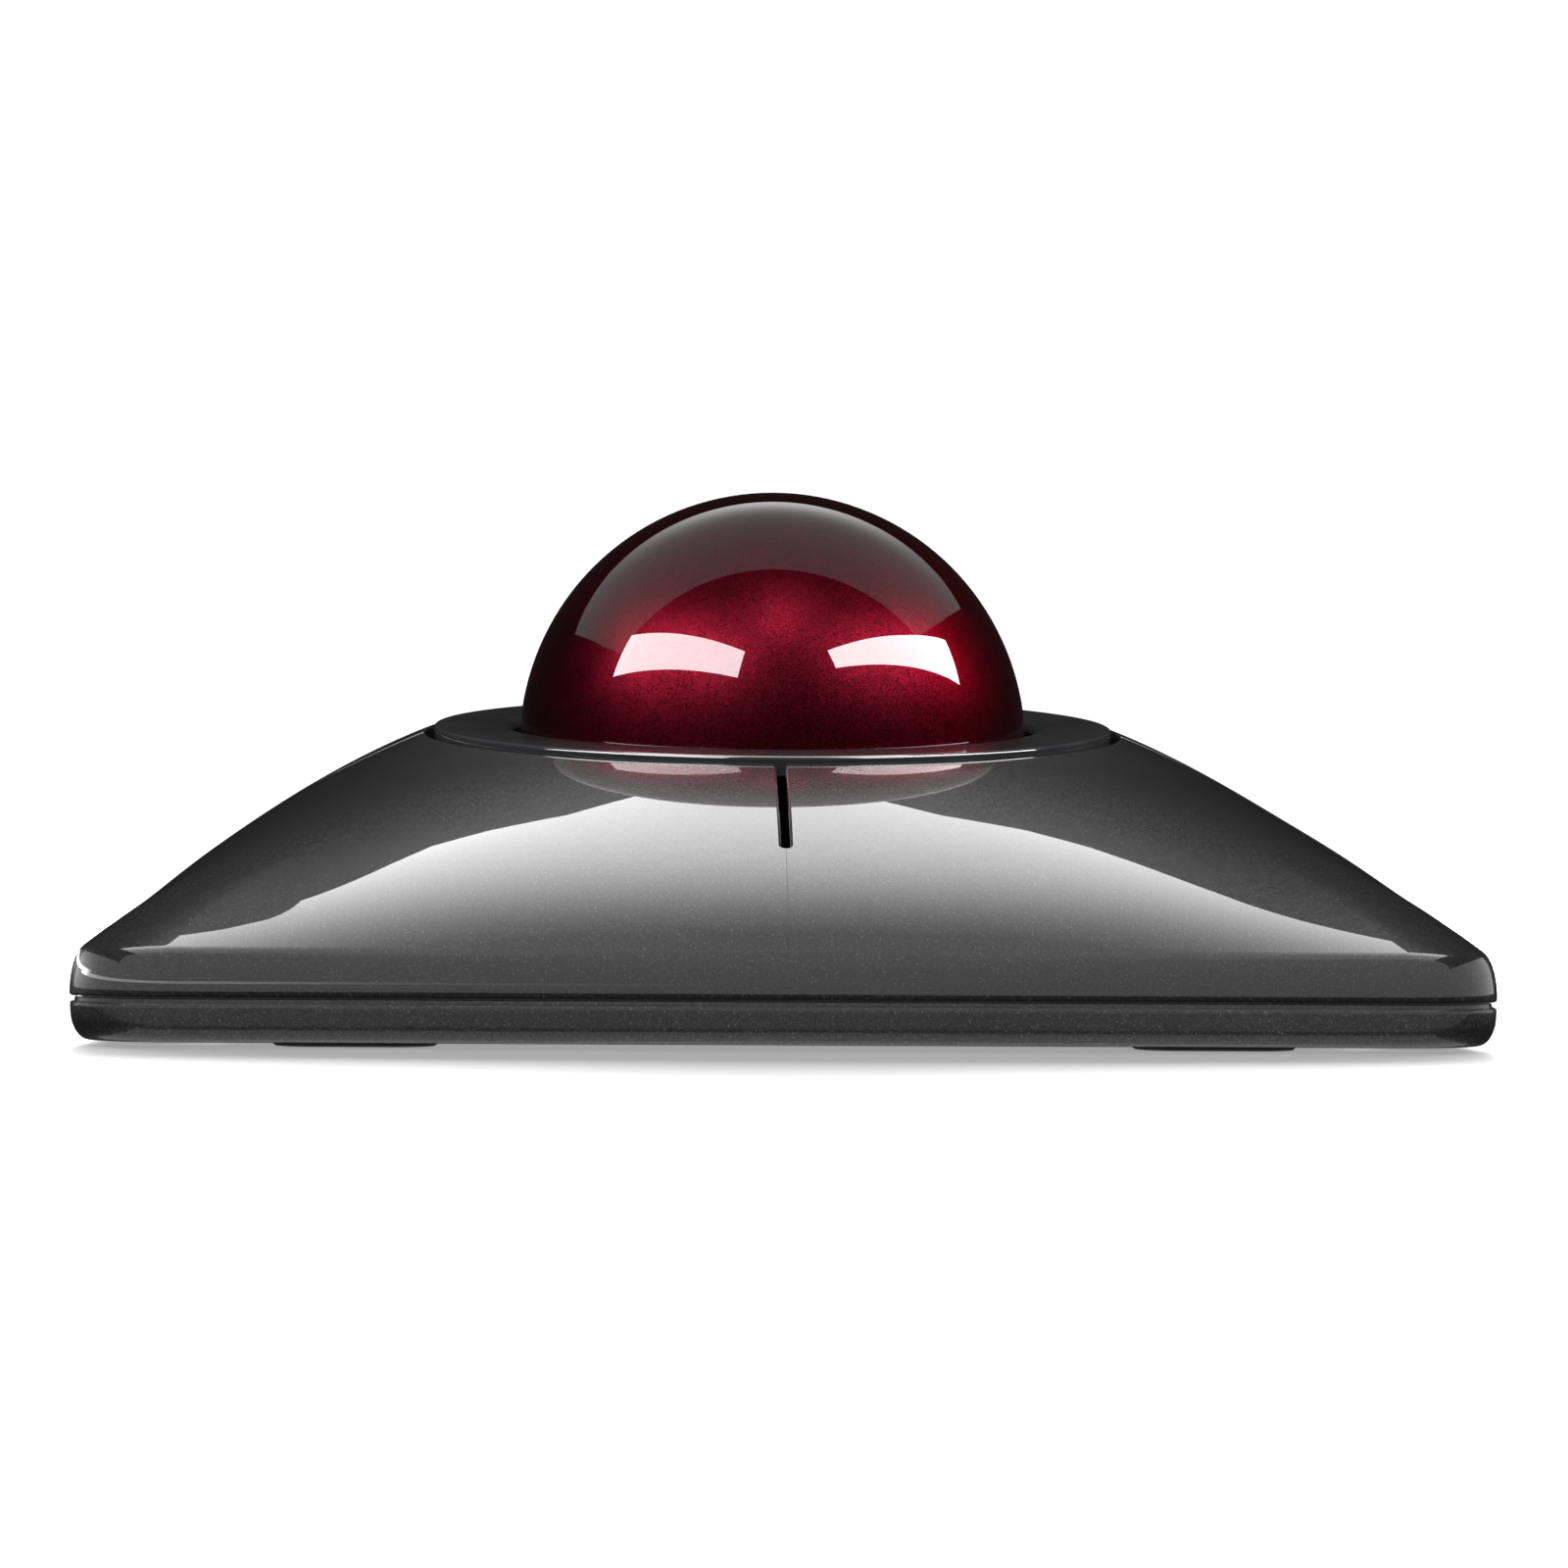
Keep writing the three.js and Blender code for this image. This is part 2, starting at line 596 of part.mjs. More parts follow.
function ballCup() {
  const lowest = Math.asin(CUP_HOLE / CUP_INNER);
  const rimTop = CUP_FLANGE.top;
  const rimBottom = rimTop - CUP_FLANGE.thickness;
  const steps = 5;
  const profile = [];
  for (let i = 0; i <= steps; i += 1) {
    profile.push(pointOnSphere(CUP_OUTER, lowest + (CUP_WRAP - lowest) * i / steps));
  }
  profile.push([CUP_FLANGE.radius, rimBottom], [CUP_FLANGE.radius, rimTop], [CUP_INNER + 0.1, rimTop]);
  for (let i = steps; i >= 0; i -= 1) {
    profile.push(pointOnSphere(CUP_INNER, lowest + (CUP_WRAP - lowest) * i / steps));
  }
  profile.push(profile[0]);
  const additions = [];
  const holes = [];
  for (const azimuth of BEARING_AZIMUTHS) {
    const { radius, from, to, margin, depth } = BEARING_SEAT;
    const seat = bar(0, 0, radius, from, to, 12);
    const socket = bar(0, 0, BEARING_RADIUS + margin, from - OVER, depth, 12);
    additions.push(aim(seat, azimuth, BEARING_FROM_DOWN));
    holes.push(aim(socket, azimuth, BEARING_FROM_DOWN));
  }
  for (const azimuth of SENSOR_AZIMUTHS) {
    const { radius, from, to, window, recess, recessFrom } = SENSOR_SEAT;
    additions.push(aim(bar(0, 0, radius, from, to, 16), azimuth, SENSOR_FROM_DOWN));
    holes.push(aim(bar(0, 0, window, from - OVER, to + OVER, 16), azimuth, SENSOR_FROM_DOWN));
    holes.push(aim(bar(0, 0, recess, recessFrom, to + OVER, 16), azimuth, SENSOR_FROM_DOWN));
  }
  const cup = join(turned(profile, 36), additions);
  cup.rotateX(TILT).translate(0, 0, BALL_CENTRE);
  const legs = [];
  const screwHoles = [];
  for (const leg of legPlaces()) {
    const flange = BALL_CENTRE + rimBottom + leg.y * Math.tan(TILT);
    legs.push(bar(leg.x, leg.y, LEG.radius, FLOOR + GAP, flange + LEG.into, 12));
    screwHoles.push(bar(leg.x, leg.y, LEG.bore, 0, LEG.boreTop, 10));
  }
  const placedHoles = holes.map((hole) => hole.rotateX(TILT).translate(0, 0, BALL_CENTRE));
  return cut(join(cup, legs), [...placedHoles, ...screwHoles]);
}

// ---- electronics ----

function switchTop(front) {
  return (front ? FRONT_BOARD : REAR_BOARD) + BOARD_THICKNESS + GAP + SWITCH_SIZE.z;
}

function switchBody(side, front) {
  const x = side * SWITCH_X;
  const y = front ? SWITCH_FRONT : SWITCH_REAR;
  const top = switchTop(front);
  const halfX = SWITCH_SIZE.x / 2;
  const halfY = SWITCH_SIZE.y / 2;
  const body = plate(x - halfX, x + halfX, y - halfY, y + halfY, top - SWITCH_SIZE.z, top, 0.5, 2);
  return cut(body, [bar(x, y, SWITCH_BORE.radius, top - SWITCH_BORE.depth, top + OVER, 10)]);
}

function plunger(side, front) {
  const top = switchTop(front);
  const y = front ? SWITCH_FRONT : SWITCH_REAR;
  return bar(side * SWITCH_X, y, PLUNGER.radius, top - PLUNGER.sunk, top + PLUNGER_PROUD, 10);
}

function mainBoard() {
  const board = plate(-BOARD.x, BOARD.x, BOARD.front, BOARD.rear, BOARD_BOTTOM, BOARD_TOP, BOARD.corner, 3);
  const top = BOARD_TOP + OVER;
  const holes = [bar(0, 0, BOARD.middleHole, 0, top, 28)];
  for (const leg of legPlaces()) {
    holes.push(bar(leg.x, leg.y, LEG.clearance, 0, top, 8));
  }
  for (const side of [-1, 1]) {
    holes.push(bar(side * POST_X, POST_FRONT, STANDOFF_HOLE, 0, top, 8));
    holes.push(bar(side * POST_X, POST_REAR, STANDOFF_HOLE, 0, top, 8));
  }
  holes.push(centredBox(MODE, MODE_BODY.halfX + 2 * GAP, MODE_BODY.halfY + 2 * GAP, 0, top));
  holes.push(centredBox(PAIR, PAIR_BODY + 2 * GAP, PAIR_BODY + 2 * GAP, 0, top));
  const { inner, outer, front, rear } = BOARD_NOTCH;
  holes.push(box(inner, outer, front, rear, 0, top));
  holes.push(box(-outer, -inner, front, rear, 0, top));
  return cut(board, holes);
}

function switchBoard(front) {
  const bottom = front ? FRONT_BOARD : REAR_BOARD;
  const top = bottom + BOARD_THICKNESS;
  const y = front ? POST_FRONT : POST_REAR;
  const { halfX, halfY, corner } = SWITCH_BOARD;
  return plate(-halfX, halfX, y - halfY, y + halfY, bottom, top, corner, 3);
}

// A flat ribbon cable standing between the main board and a switch board.
function ribbon(front) {
  const top = (front ? FRONT_BOARD : REAR_BOARD) - GAP;
  const place = front ? { x: 0, y: RIBBON.frontY } : { x: RIBBON.rearX, y: RIBBON.rearY };
  return centredBox(place, RIBBON.halfWidth, RIBBON.halfThickness, BOARD_TOP + GAP, top);
}

// A hollow metal socket with its contact tongue, its mouth just inside the rear wall.
function usbSocket() {
  const { halfWidth, halfHeight, length, wall, setBack } = SOCKET;
  const hollow = tunnel(halfWidth - wall, halfHeight - wall, length - 1).translate(0, 0.5, 0);
  const shell = cut(tunnel(halfWidth, halfHeight, length), [hollow]);
  const tongue = box(
    -TONGUE.halfWidth, TONGUE.halfWidth,
    TONGUE.back - length, -TONGUE.front,
    -TONGUE.halfHeight, TONGUE.halfHeight,
  );
  return join(shell, [tongue]).translate(0, DEPTH / 2 - setBack, BOARD_TOP + GAP + halfHeight);
}

// A flat-sided tube blank with round ends, running back along -Y from its mouth.
function tunnel(halfWidth, halfHeight, length) {
  const shape = new THREE.Shape();
  const flat = halfWidth - halfHeight;
  shape.moveTo(-flat, -halfHeight);
  shape.lineTo(flat, -halfHeight);
  shape.absarc(flat, 0, halfHeight, -Math.PI / 2, Math.PI / 2);
  shape.lineTo(-flat, halfHeight);
  shape.absarc(-flat, 0, halfHeight, Math.PI / 2, 1.5 * Math.PI);
  const geometry = new THREE.ExtrudeGeometry(shape, { depth: length, bevelEnabled: false, curveSegments: 6 });
  return geometry.rotateX(Math.PI / 2);
}

// A pan-head screw standing head down, with a hexagon driver recess.
function screw(x, y, { head, bottom, top, shank, tip }) {
  const blank = turned([
    [0, bottom],
    [head - 0.3, bottom],
    [head, bottom + 0.3],
    [head, top],
    [shank, top],
    [shank, tip - 0.6],
    [0, tip],
  ], 12);
  const recess = bar(0, 0, head / 2, bottom - OVER, bottom + 0.6, 6);
  return cut(blank, [recess]).translate(x, y, 0);
}

function modeSwitchBody() {
  const body = centredBox(MODE, MODE_BODY.halfX, MODE_BODY.halfY, FLOOR + GAP, MODE_BODY.top);
  const railTop = FLOOR + GAP + MODE_RAIL.depth;
  return cut(body, [centredBox(MODE, MODE_RAIL.halfX, MODE_RAIL.halfY, FLOOR - OVER, railTop)]);
}

function modeSlider() {
  const bottom = BASE + RECESSED;
  const knob = centredBox(MODE, MODE_KNOB.halfX, MODE_KNOB.halfY, bottom, FLOOR - 0.1);
  const { halfX, halfY, up, down } = MODE_STEM;
  const stem = centredBox(MODE, halfX, halfY, FLOOR - down, FLOOR + up);
  const { offsets, halfWidth, depth } = MODE_GROOVES;
  const grooves = offsets.map((offset) => {
    const place = { x: MODE.x + offset, y: MODE.y };
    return centredBox(place, halfWidth, MODE_KNOB.halfY + OVER, bottom - OVER, bottom + depth);
  });
  return cut(join(knob, [stem]), grooves);
}

// ---- assembly ----

const trackballMouse = new THREE.Group();
trackballMouse.add(TURNED);

function add(name, geometry, finish, parent = trackballMouse) {
  const mesh = new THREE.Mesh(geometry, finish);
  mesh.name = name;
  parent.add(mesh);
}

add('top_shell', topShell(), plastic());
add('lower_shell', lowerShell(), plastic());
add('bezel_ring', bezelRing(), glossBlack(), TURNED);
add('ball_cup', ballCup(), material(0x1a1a1c, 0.45));
add('trackball', new THREE.SphereGeometry(BALL_RADIUS, 32, 18).rotateX(Math.PI / 2),
  material(0x7a0a22, 0.06, 0.1), TURNED);

BEARING_AZIMUTHS.forEach((azimuth, i) => {
  const reach = BALL_RADIUS + BEARING_RADIUS + BEARING_GAP;
  const bearing = new THREE.SphereGeometry(BEARING_RADIUS, 12, 8).translate(0, 0, reach);
  add(`bearing_ball_${i + 1}`, aim(bearing, azimuth, BEARING_FROM_DOWN), material(0xe8e8ea, 0.15), TURNED);
});

for (const front of [true, false]) {
  const end = front ? 'front' : 'rear';
  const key = keyWithPost(front);
  add(`${end}_right_key`, key, plastic());
  add(`${end}_left_key`, mirrored(key), plastic());
  add(`${end}_switch_board`, switchBoard(front), circuitGreen());
  add(`${end}_ribbon_cable`, ribbon(front), material(0xd8d8d2, 0.6));
  for (const side of [-1, 1]) {
    const hand = side < 0 ? 'left' : 'right';
    add(`${end}_${hand}_switch`, switchBody(side, front), switchBlack());
    add(`${end}_${hand}_plunger`, plunger(side, front), material(0xc9342c, 0.4));
  }
}

SENSOR_AZIMUTHS.forEach((azimuth, i) => {
  const hand = i === 0 ? 'left' : 'right';
  const place = (geometry) => aim(geometry, azimuth, SENSOR_FROM_DOWN);
  const lens = turned(SENSOR_LENS, 16);
  const chip = centredBox(AXIS, SENSOR_CHIP.half, SENSOR_CHIP.half, SENSOR_CHIP.from, SENSOR_CHIP.to);
  const { halfX, halfY, from, to } = SENSOR_BOARD;
  const board = centredBox(AXIS, halfX, halfY, from, to);
  add(`${hand}_sensor_lens`, place(lens), material(0xdfe6ea, 0.05), TURNED);
  add(`${hand}_optical_sensor`, place(chip), switchBlack(), TURNED);
  add(`${hand}_sensor_board`, place(board), circuitGreen(), TURNED);
});

const onBoard = BOARD_TOP + GAP;
const { half, front, rear } = BATTERY;
const cell = plate(-half, half, front, rear, onBoard, BATTERY.top, BATTERY.corner, 3);
const { x0, x1, y0, y1 } = RADIO;
const radio = plate(x0, x1, y0, y1, onBoard, RADIO.top, RADIO.corner, 2);
const speaker = bar(SPEAKER.x, SPEAKER.y, SPEAKER.radius, onBoard, SPEAKER.top, 24);
const { bottom: bodyBottom, top: bodyTop } = PAIR_BODY_HEIGHTS;
const pairingBody = centredBox(PAIR, PAIR_BODY, PAIR_BODY, bodyBottom, bodyTop);
const pairingButton = bar(PAIR.x, PAIR.y, PAIR.radius - GAP, BASE + RECESSED, PAIR_BUTTON_TOP, 20);
add('main_board', mainBoard(), circuitGreen());
add('battery', cell, material(0xb9bcc4, 0.5, 0.4));
add('usb_socket', usbSocket(), steel());
add('controller_chip', centredBox(CHIP, CHIP.half, CHIP.half, onBoard, CHIP.top), switchBlack());
add('radio_module', radio, steel());
add('click_speaker', speaker, material(0x202022, 0.5));
add('mode_switch_body', modeSwitchBody(), steel());
add('mode_slider', modeSlider(), material(0x3a3a3c, 0.5));
add('pairing_switch_body', pairingBody, switchBlack());
add('pairing_button', pairingButton, material(0x3a3a3c, 0.5));

let corner = 0;
for (const y of [-1, 1]) {
  for (const x of [-1, 1]) {
    corner += 1;
    const foot = footPlate(x * FOOT.x, y * FOOT.y, 0, 0, BASE + FOOT_RECESS - GAP);
    add(`foot_pad_${corner}`, foot, material(0x1c1c1d, 0.8));
    add(`case_screw_${corner}`, screw(x * CASE_SCREW.x, y * CASE_SCREW.y, CASE_SCREW), steel());
  }
}
legPlaces().forEach((leg, i) => {
  add(`cup_screw_${i + 1}`, screw(leg.x, leg.y, CUP_SCREW), steel());
});

export default trackballMouse;
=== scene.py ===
"""Looks of the cordless trackball mouse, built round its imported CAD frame. Lengths are in millimetres
until a mesh is made, and in metres from there on."""

import json
import math

import bmesh
import bpy
import numpy as np
from mathutils import Matrix, Vector


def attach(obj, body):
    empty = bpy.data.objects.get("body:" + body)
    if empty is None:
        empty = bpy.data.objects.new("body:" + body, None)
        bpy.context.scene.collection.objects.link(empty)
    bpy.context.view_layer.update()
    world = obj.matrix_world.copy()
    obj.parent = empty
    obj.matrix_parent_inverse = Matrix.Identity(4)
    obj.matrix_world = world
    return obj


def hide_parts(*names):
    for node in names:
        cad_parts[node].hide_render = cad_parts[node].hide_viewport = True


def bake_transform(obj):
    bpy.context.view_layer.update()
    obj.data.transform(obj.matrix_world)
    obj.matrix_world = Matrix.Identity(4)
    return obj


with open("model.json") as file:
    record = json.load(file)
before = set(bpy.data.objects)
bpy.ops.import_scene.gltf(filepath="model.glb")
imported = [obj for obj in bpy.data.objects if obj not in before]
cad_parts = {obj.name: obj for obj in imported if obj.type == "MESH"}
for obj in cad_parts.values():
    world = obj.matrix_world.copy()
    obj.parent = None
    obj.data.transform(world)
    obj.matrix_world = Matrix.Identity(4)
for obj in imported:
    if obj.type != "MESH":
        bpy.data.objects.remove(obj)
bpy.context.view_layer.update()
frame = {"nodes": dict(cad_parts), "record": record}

MM = 0.001

# ---- dimensions shared with the CAD source ----

WIDTH, DEPTH, CORNER = 133.0, 149.0, 10.0
BALL_RADIUS, BALL_CENTRE = 27.5, 30.4
TILT = math.radians(7.2)
HOLE_RADIUS, HOLE_LIFT = 37.7, 1.54
EDGE_HEIGHT, EDGE_INSET = 9.3, 1.3
SOFTNESS, SQUARING = 4.7, 4.4      # roundness of the level curves, and how late they take the outline's shape
FALL_TERMS = (0.455, 0.309, 0.236)
SEAM_TOP, BASE, WALL = 4.6, 0.5, 2.2
KEY_THICKNESS = 2.2
SLIT_HALF, SLIT_REAR = 0.45, 69.0
SIDE_START = np.array([37.58, -3.0])
SIDE_END = np.array([61.5, -14.0])
PORT_HALF, PORT_TOP, PORT_ROUND = 4.9, 8.5, 1.6
FOOT_X, FOOT_Y, FOOT_LENGTH, FOOT_WIDTH = 40.0, 65.0, 15.2, 8.4
CASE_SCREW = (54.0, 62.0)
LEG_RADIUS = 33.6
MODE = (-38.0, 14.0)
PAIR, PAIR_HOLE = (38.0, 14.0), 2.6

# ---- dimensions that the CAD doesn't have ----

SLIT_FRONT = 62.2      # the CAD's front slit stops at 60, on the keys' hinge line
SLIT_ROUND = 0.3       # radius of the rounded edge along slits and the round opening
SEAM_LAP = 0.002       # how far two quadrants overlap where the slit between them has ended

# ---- the panel's surface ----


def outline_radius(angle, inset):
    """Distance from the axis to the footprint's rounded outline, drawn in by an inset."""
    half_x, half_y, radius = WIDTH / 2 - inset, DEPTH / 2 - inset, CORNER - inset
    c, s = np.abs(np.cos(angle)), np.abs(np.sin(angle))
    straight = np.minimum(half_x / np.maximum(c, 1e-9), half_y / np.maximum(s, 1e-9))
    centre_x, centre_y = half_x - radius, half_y - radius
    along = c * centre_x + s * centre_y
    reach = np.maximum(along**2 - centre_x**2 - centre_y**2 + radius**2, 0)
    on_side = (straight * c <= centre_x) | (straight * s <= centre_y)
    return np.where(on_side, straight, along + np.sqrt(reach))


def fall(u):
    """Share of the panel's drop, from the opening at 0 to the edge at 1."""
    straight, bend, roll_off = FALL_TERMS
    return straight * u + bend * u**2 + roll_off * u**8


def contour_radius(angle, u):
    """Level curves that grow from the round opening to the footprint's rounded outline."""
    c = np.abs(np.cos(angle)) / (WIDTH / 2 - EDGE_INSET)
    s = np.abs(np.sin(angle)) / (DEPTH / 2 - EDGE_INSET)
    soft = (c**SOFTNESS + s**SOFTNESS) ** (-1 / SOFTNESS)
    outer = soft + (outline_radius(angle, EDGE_INSET) - soft) * u**SQUARING
    return HOLE_RADIUS + (outer - HOLE_RADIUS) * u


def panel_point(angle, u):
    radius = contour_radius(angle, u)
    rim = BALL_CENTRE + HOLE_LIFT / math.cos(TILT) + HOLE_RADIUS * np.sin(angle) * math.tan(TILT)
    z = rim - (rim - EDGE_HEIGHT) * fall(u)
    return np.stack([radius * np.cos(angle), radius * np.sin(angle), z], -1)


def unit(vectors):
    return vectors / np.maximum(np.linalg.norm(vectors, axis=-1, keepdims=True), 1e-12)


def panel_normal(angle, u):
    step = 1e-4
    low, high = np.clip(u - step, 0, 1), np.clip(u + step, 0, 1)
    across = panel_point(angle + step, u) - panel_point(angle - step, u)
    down = panel_point(angle, high) - panel_point(angle, low)
    return unit(np.cross(down, across))


def bisect(value, low, high, rounds=46):
    """Root of a rising function between two arrays of bounds."""
    for _ in range(rounds):
        middle = (low + high) / 2
        below = value(middle) < 0
        low, high = np.where(below, middle, low), np.where(below, high, middle)
    return (low + high) / 2


# ---- slits between the keys ----

SIDE_RUN = unit(SIDE_END - SIDE_START)
SIDE_LENGTH = float(np.linalg.norm(SIDE_END - SIDE_START))


def slit_half_width(along, end):
    """Half the slit's width at a distance along it, closing in a half circle at its end.
    Past the end it is slightly negative, so that the two quadrants lap and no light gets through."""
    past = np.clip((along - (end - SLIT_HALF)) / SLIT_HALF, 0, 1)
    return np.where(past < 1, SLIT_HALF * np.sqrt(1 - past**2), -SEAM_LAP)


def side_angle(u, offset, towards):
    """Angle at which a level curve meets the side slit's line moved towards the front or rear."""
    normal = np.array([SIDE_RUN[1], -SIDE_RUN[0]]) * (1 if towards < 0 else -1)

    def gap(angle):
        point = panel_point(angle, u)[..., :2] - SIDE_START
        return point @ normal - offset

    return bisect(gap, np.full_like(u, math.radians(-12) * towards), np.full_like(u, math.radians(62) * towards))


def middle_angle(u, offset, towards):
    """Angle at which a level curve meets the centre line moved sideways."""
    angle = np.full_like(u, towards * math.pi / 2)
    for _ in range(8):
        angle = towards * np.arccos(np.clip(offset / contour_radius(angle, u), -1, 1))
    return angle


def slit_distance(points):
    """Distance from the nearest slit's edge in plan, and the unit direction towards it."""
    segments = [
        (np.array([0.0, -30.0]), np.array([0.0, -(SLIT_FRONT - SLIT_HALF)])),
        (np.array([0.0, 30.0]), np.array([0.0, SLIT_REAR - SLIT_HALF])),
        (SIDE_START - 9 * SIDE_RUN, SIDE_END - SLIT_HALF * SIDE_RUN),
    ]
    best = np.full(points.shape[:-1], 1e9)
    heading = np.zeros(points.shape[:-1] + (2,))
    for start, end in segments:
        run = end - start
        t = np.clip(((points - start) @ run) / (run @ run), 0, 1)[..., None]
        towards = start + t * run - points
        distance = np.linalg.norm(towards, axis=-1)
        nearer = distance < best
        best = np.where(nearer, distance, best)
        heading = np.where(nearer[..., None], unit(towards), heading)
    return best - SLIT_HALF, heading


def rounded(distance, radius):
    """Drop of a quarter-round edge and the sine and cosine of its turn."""
    sine = np.clip((radius - distance) / radius, 0, 1)
    cosine = np.sqrt(1 - sine**2)
    return radius * (1 - cosine), sine, cosine


# ---- side of the upper shell ----
# A profile gives the outward distance from the shell's widest line, and the height.

SHOULDER = np.array([-0.17, 6.9])           # where the rounded edge gives way to the nearly upright side
SHOULDER_RUN = unit(np.array([0.16, -1.0]))
SHOULDER_SHARE = 0.62                       # share of the profile's rows above the shoulder
EDGE_PULL, SHOULDER_PULL = 0.62, 1.15       # lengths of the curve's two handles
BELLY_HEIGHT, BELLY_HALF, BELLY_LOW = 5.15, 1.75, 4.0      # height of the widest line, and the bulge's extent
RIM_ROUND = 0.22


def cubic(t, a, b, c, d):
    """Point of a cubic curve with the handles b and c."""
    return (1 - t) ** 3 * a + 3 * (1 - t) ** 2 * t * b + 3 * (1 - t) * t**2 * c + t**3 * d


def side_profile(slope, share, rim):
    """Outward distance and height at a share of the way from the panel's edge down to the rim."""
    start = np.stack([np.full_like(slope, -EDGE_INSET), np.full_like(slope, EDGE_HEIGHT)], -1)
    leave = unit(np.stack([np.ones_like(slope), -slope], -1))
    shoulder = np.broadcast_to(SHOULDER, start.shape)
    t = np.clip(share / SHOULDER_SHARE, 0, 1)[..., None]
    upper = cubic(t, start, start + leave * EDGE_PULL, shoulder - SHOULDER_RUN * SHOULDER_PULL, shoulder)

    bulge, top = -SHOULDER[0], SHOULDER[1]
    height = top + (rim - top) * np.clip((share - SHOULDER_SHARE) / (1 - SHOULDER_SHARE), 0, 1)
    belly = bulge * (1 - ((np.clip(height, BELLY_LOW, top) - BELLY_HEIGHT) / BELLY_HALF) ** 2) - bulge
    ease = np.clip((rim + RIM_ROUND - height) / RIM_ROUND, 0, 1)
    out = belly - RIM_ROUND * (1 - np.sqrt(np.clip(1 - ease**2, 0, 1)))
    lower = np.stack([out, height], -1)
    return np.where((share <= SHOULDER_SHARE)[..., None], upper, lower)


# ---- mesh helpers ----


def add_object(name, data):
    obj = bpy.data.objects.new(name, data)
    bpy.context.scene.collection.objects.link(obj)
    return obj


def make_object(name, points, faces):
    mesh = bpy.data.meshes.new(name)
    mesh.from_pydata([tuple(p) for p in np.asarray(points) * MM], [], faces)
    mesh.validate()
    mesh.update()
    mesh.shade_smooth()
    return add_object(name, mesh)


def grid_faces(rows, columns, start=0, close_rows=False, close_columns=False, flip=False):
    """Quads of a grid of points stored row by row."""
    faces = []
    for i in range(rows if close_rows else rows - 1):
        k = (i + 1) % rows
        for j in range(columns if close_columns else columns - 1):
            m = (j + 1) % columns
            quad = (i * columns + j, i * columns + m, k * columns + m, k * columns + j)
            faces.append(tuple(start + q for q in (quad[::-1] if flip else quad)))
    return faces


def sharpen(obj, degrees):
    obj.data.set_sharp_from_angle(angle=math.radians(degrees))


def stacked(name, rings, x=0, y=0):
    """Skins rings of equal length and closes both ends with a fan about a point in plan."""
    size = len(rings[0])
    points = [p for ring in rings for p in ring]
    faces = grid_faces(len(rings), size, close_columns=True)
    first, last = len(points), len(points) + 1
    points += [(x, y, rings[0][0][2]), (x, y, rings[-1][0][2])]
    final = (len(rings) - 1) * size
    for j in range(size):
        m = (j + 1) % size
        faces += [(first, m, j), (last, final + j, final + m)]
    return make_object(name, np.array(points), faces)


# ---- panel quadrants ----

ROUND_STEPS = [0.0, 0.02, 0.06, 0.12, 0.2, 0.3, 0.45, 0.7, 1.1, 1.7]      # columns beside a slit
PORT_STEPS = [2.4, 3.0, 3.3, 3.6, 3.9, 4.2, 4.45, 4.65, 4.8, 4.87, 4.9, 4.93, 5.2, 6.0]   # over the port
SLIT_END_STEPS = [-0.5, -0.45, -0.42, -0.36, -0.27, -0.16, -0.07, -0.02, 0, 0.03, 0.08, 0.15, 0.23, 0.32, 0.5, 0.8]
OPENING_LEVELS = [0, 0.0008, 0.002, 0.0035, 0.0055, 0.008, 0.011, 0.015, 0.022]
EDGE_LEVELS = [0.988, 0.995, 1.0]
LEVEL_COUNT, LEVEL_GAP = 52, 0.006
SKIRT_SHARES = np.unique(np.round(np.concatenate([np.linspace(0, 1, 26)[1:-5], np.linspace(0.9, 1, 8)]), 6))
SHARE_STEP = 1e-3      # step over which the side's slope is measured
COLUMNS = 112
CORNER_ANGLE = 48.5    # where the footprint's corner stands, seen from the ball's axis
CROWDING, CROWD_WIDTH = 5.5, 0.075      # how much closer the columns stand there, and over what share


def level_through(x, y):
    """The panel level whose curve passes through a point in plan."""
    angle, radius = math.atan2(y, x), math.hypot(x, y)
    return float(bisect(lambda u: contour_radius(angle, u) - radius, np.array(0.0), np.array(1.0)))


def panel_levels():
    """Levels from the opening to the edge, close together at the opening and at each slit's end."""
    ends = []
    for shift in SLIT_END_STEPS:
        side = SIDE_END + shift * SIDE_RUN
        ends += [level_through(0, -SLIT_FRONT - shift), level_through(0, SLIT_REAR + shift), level_through(*side)]
    even = [i / LEVEL_COUNT for i in range(2, LEVEL_COUNT)] + EDGE_LEVELS
    kept = [u for u in even if min(abs(u - end) for end in ends) > LEVEL_GAP or u == 1.0]
    return np.array(sorted(set(OPENING_LEVELS + ends + kept)))


def corner_spread(count, centre):
    """Shares from 0 to 1, closer together at the footprint's corner."""
    x = np.linspace(0, 1, 2001)
    density = 1 + CROWDING * np.exp(-(((x - centre) / CROWD_WIDTH) ** 2))
    total = np.concatenate([[0], np.cumsum((density[1:] + density[:-1]) / 2)])
    return np.interp(np.linspace(0, 1, count), total / total[-1], x)


def port_rim(x):
    """Height of the upper shell's rim at the rear, raised over the port."""
    past = np.clip((np.abs(x) - (PORT_HALF - PORT_ROUND)) / PORT_ROUND, 0, 1)
    arch = PORT_TOP - PORT_ROUND * (1 - np.sqrt(1 - past**2))
    return np.where(np.abs(x) <= PORT_HALF + 0.005, arch, SEAM_TOP)


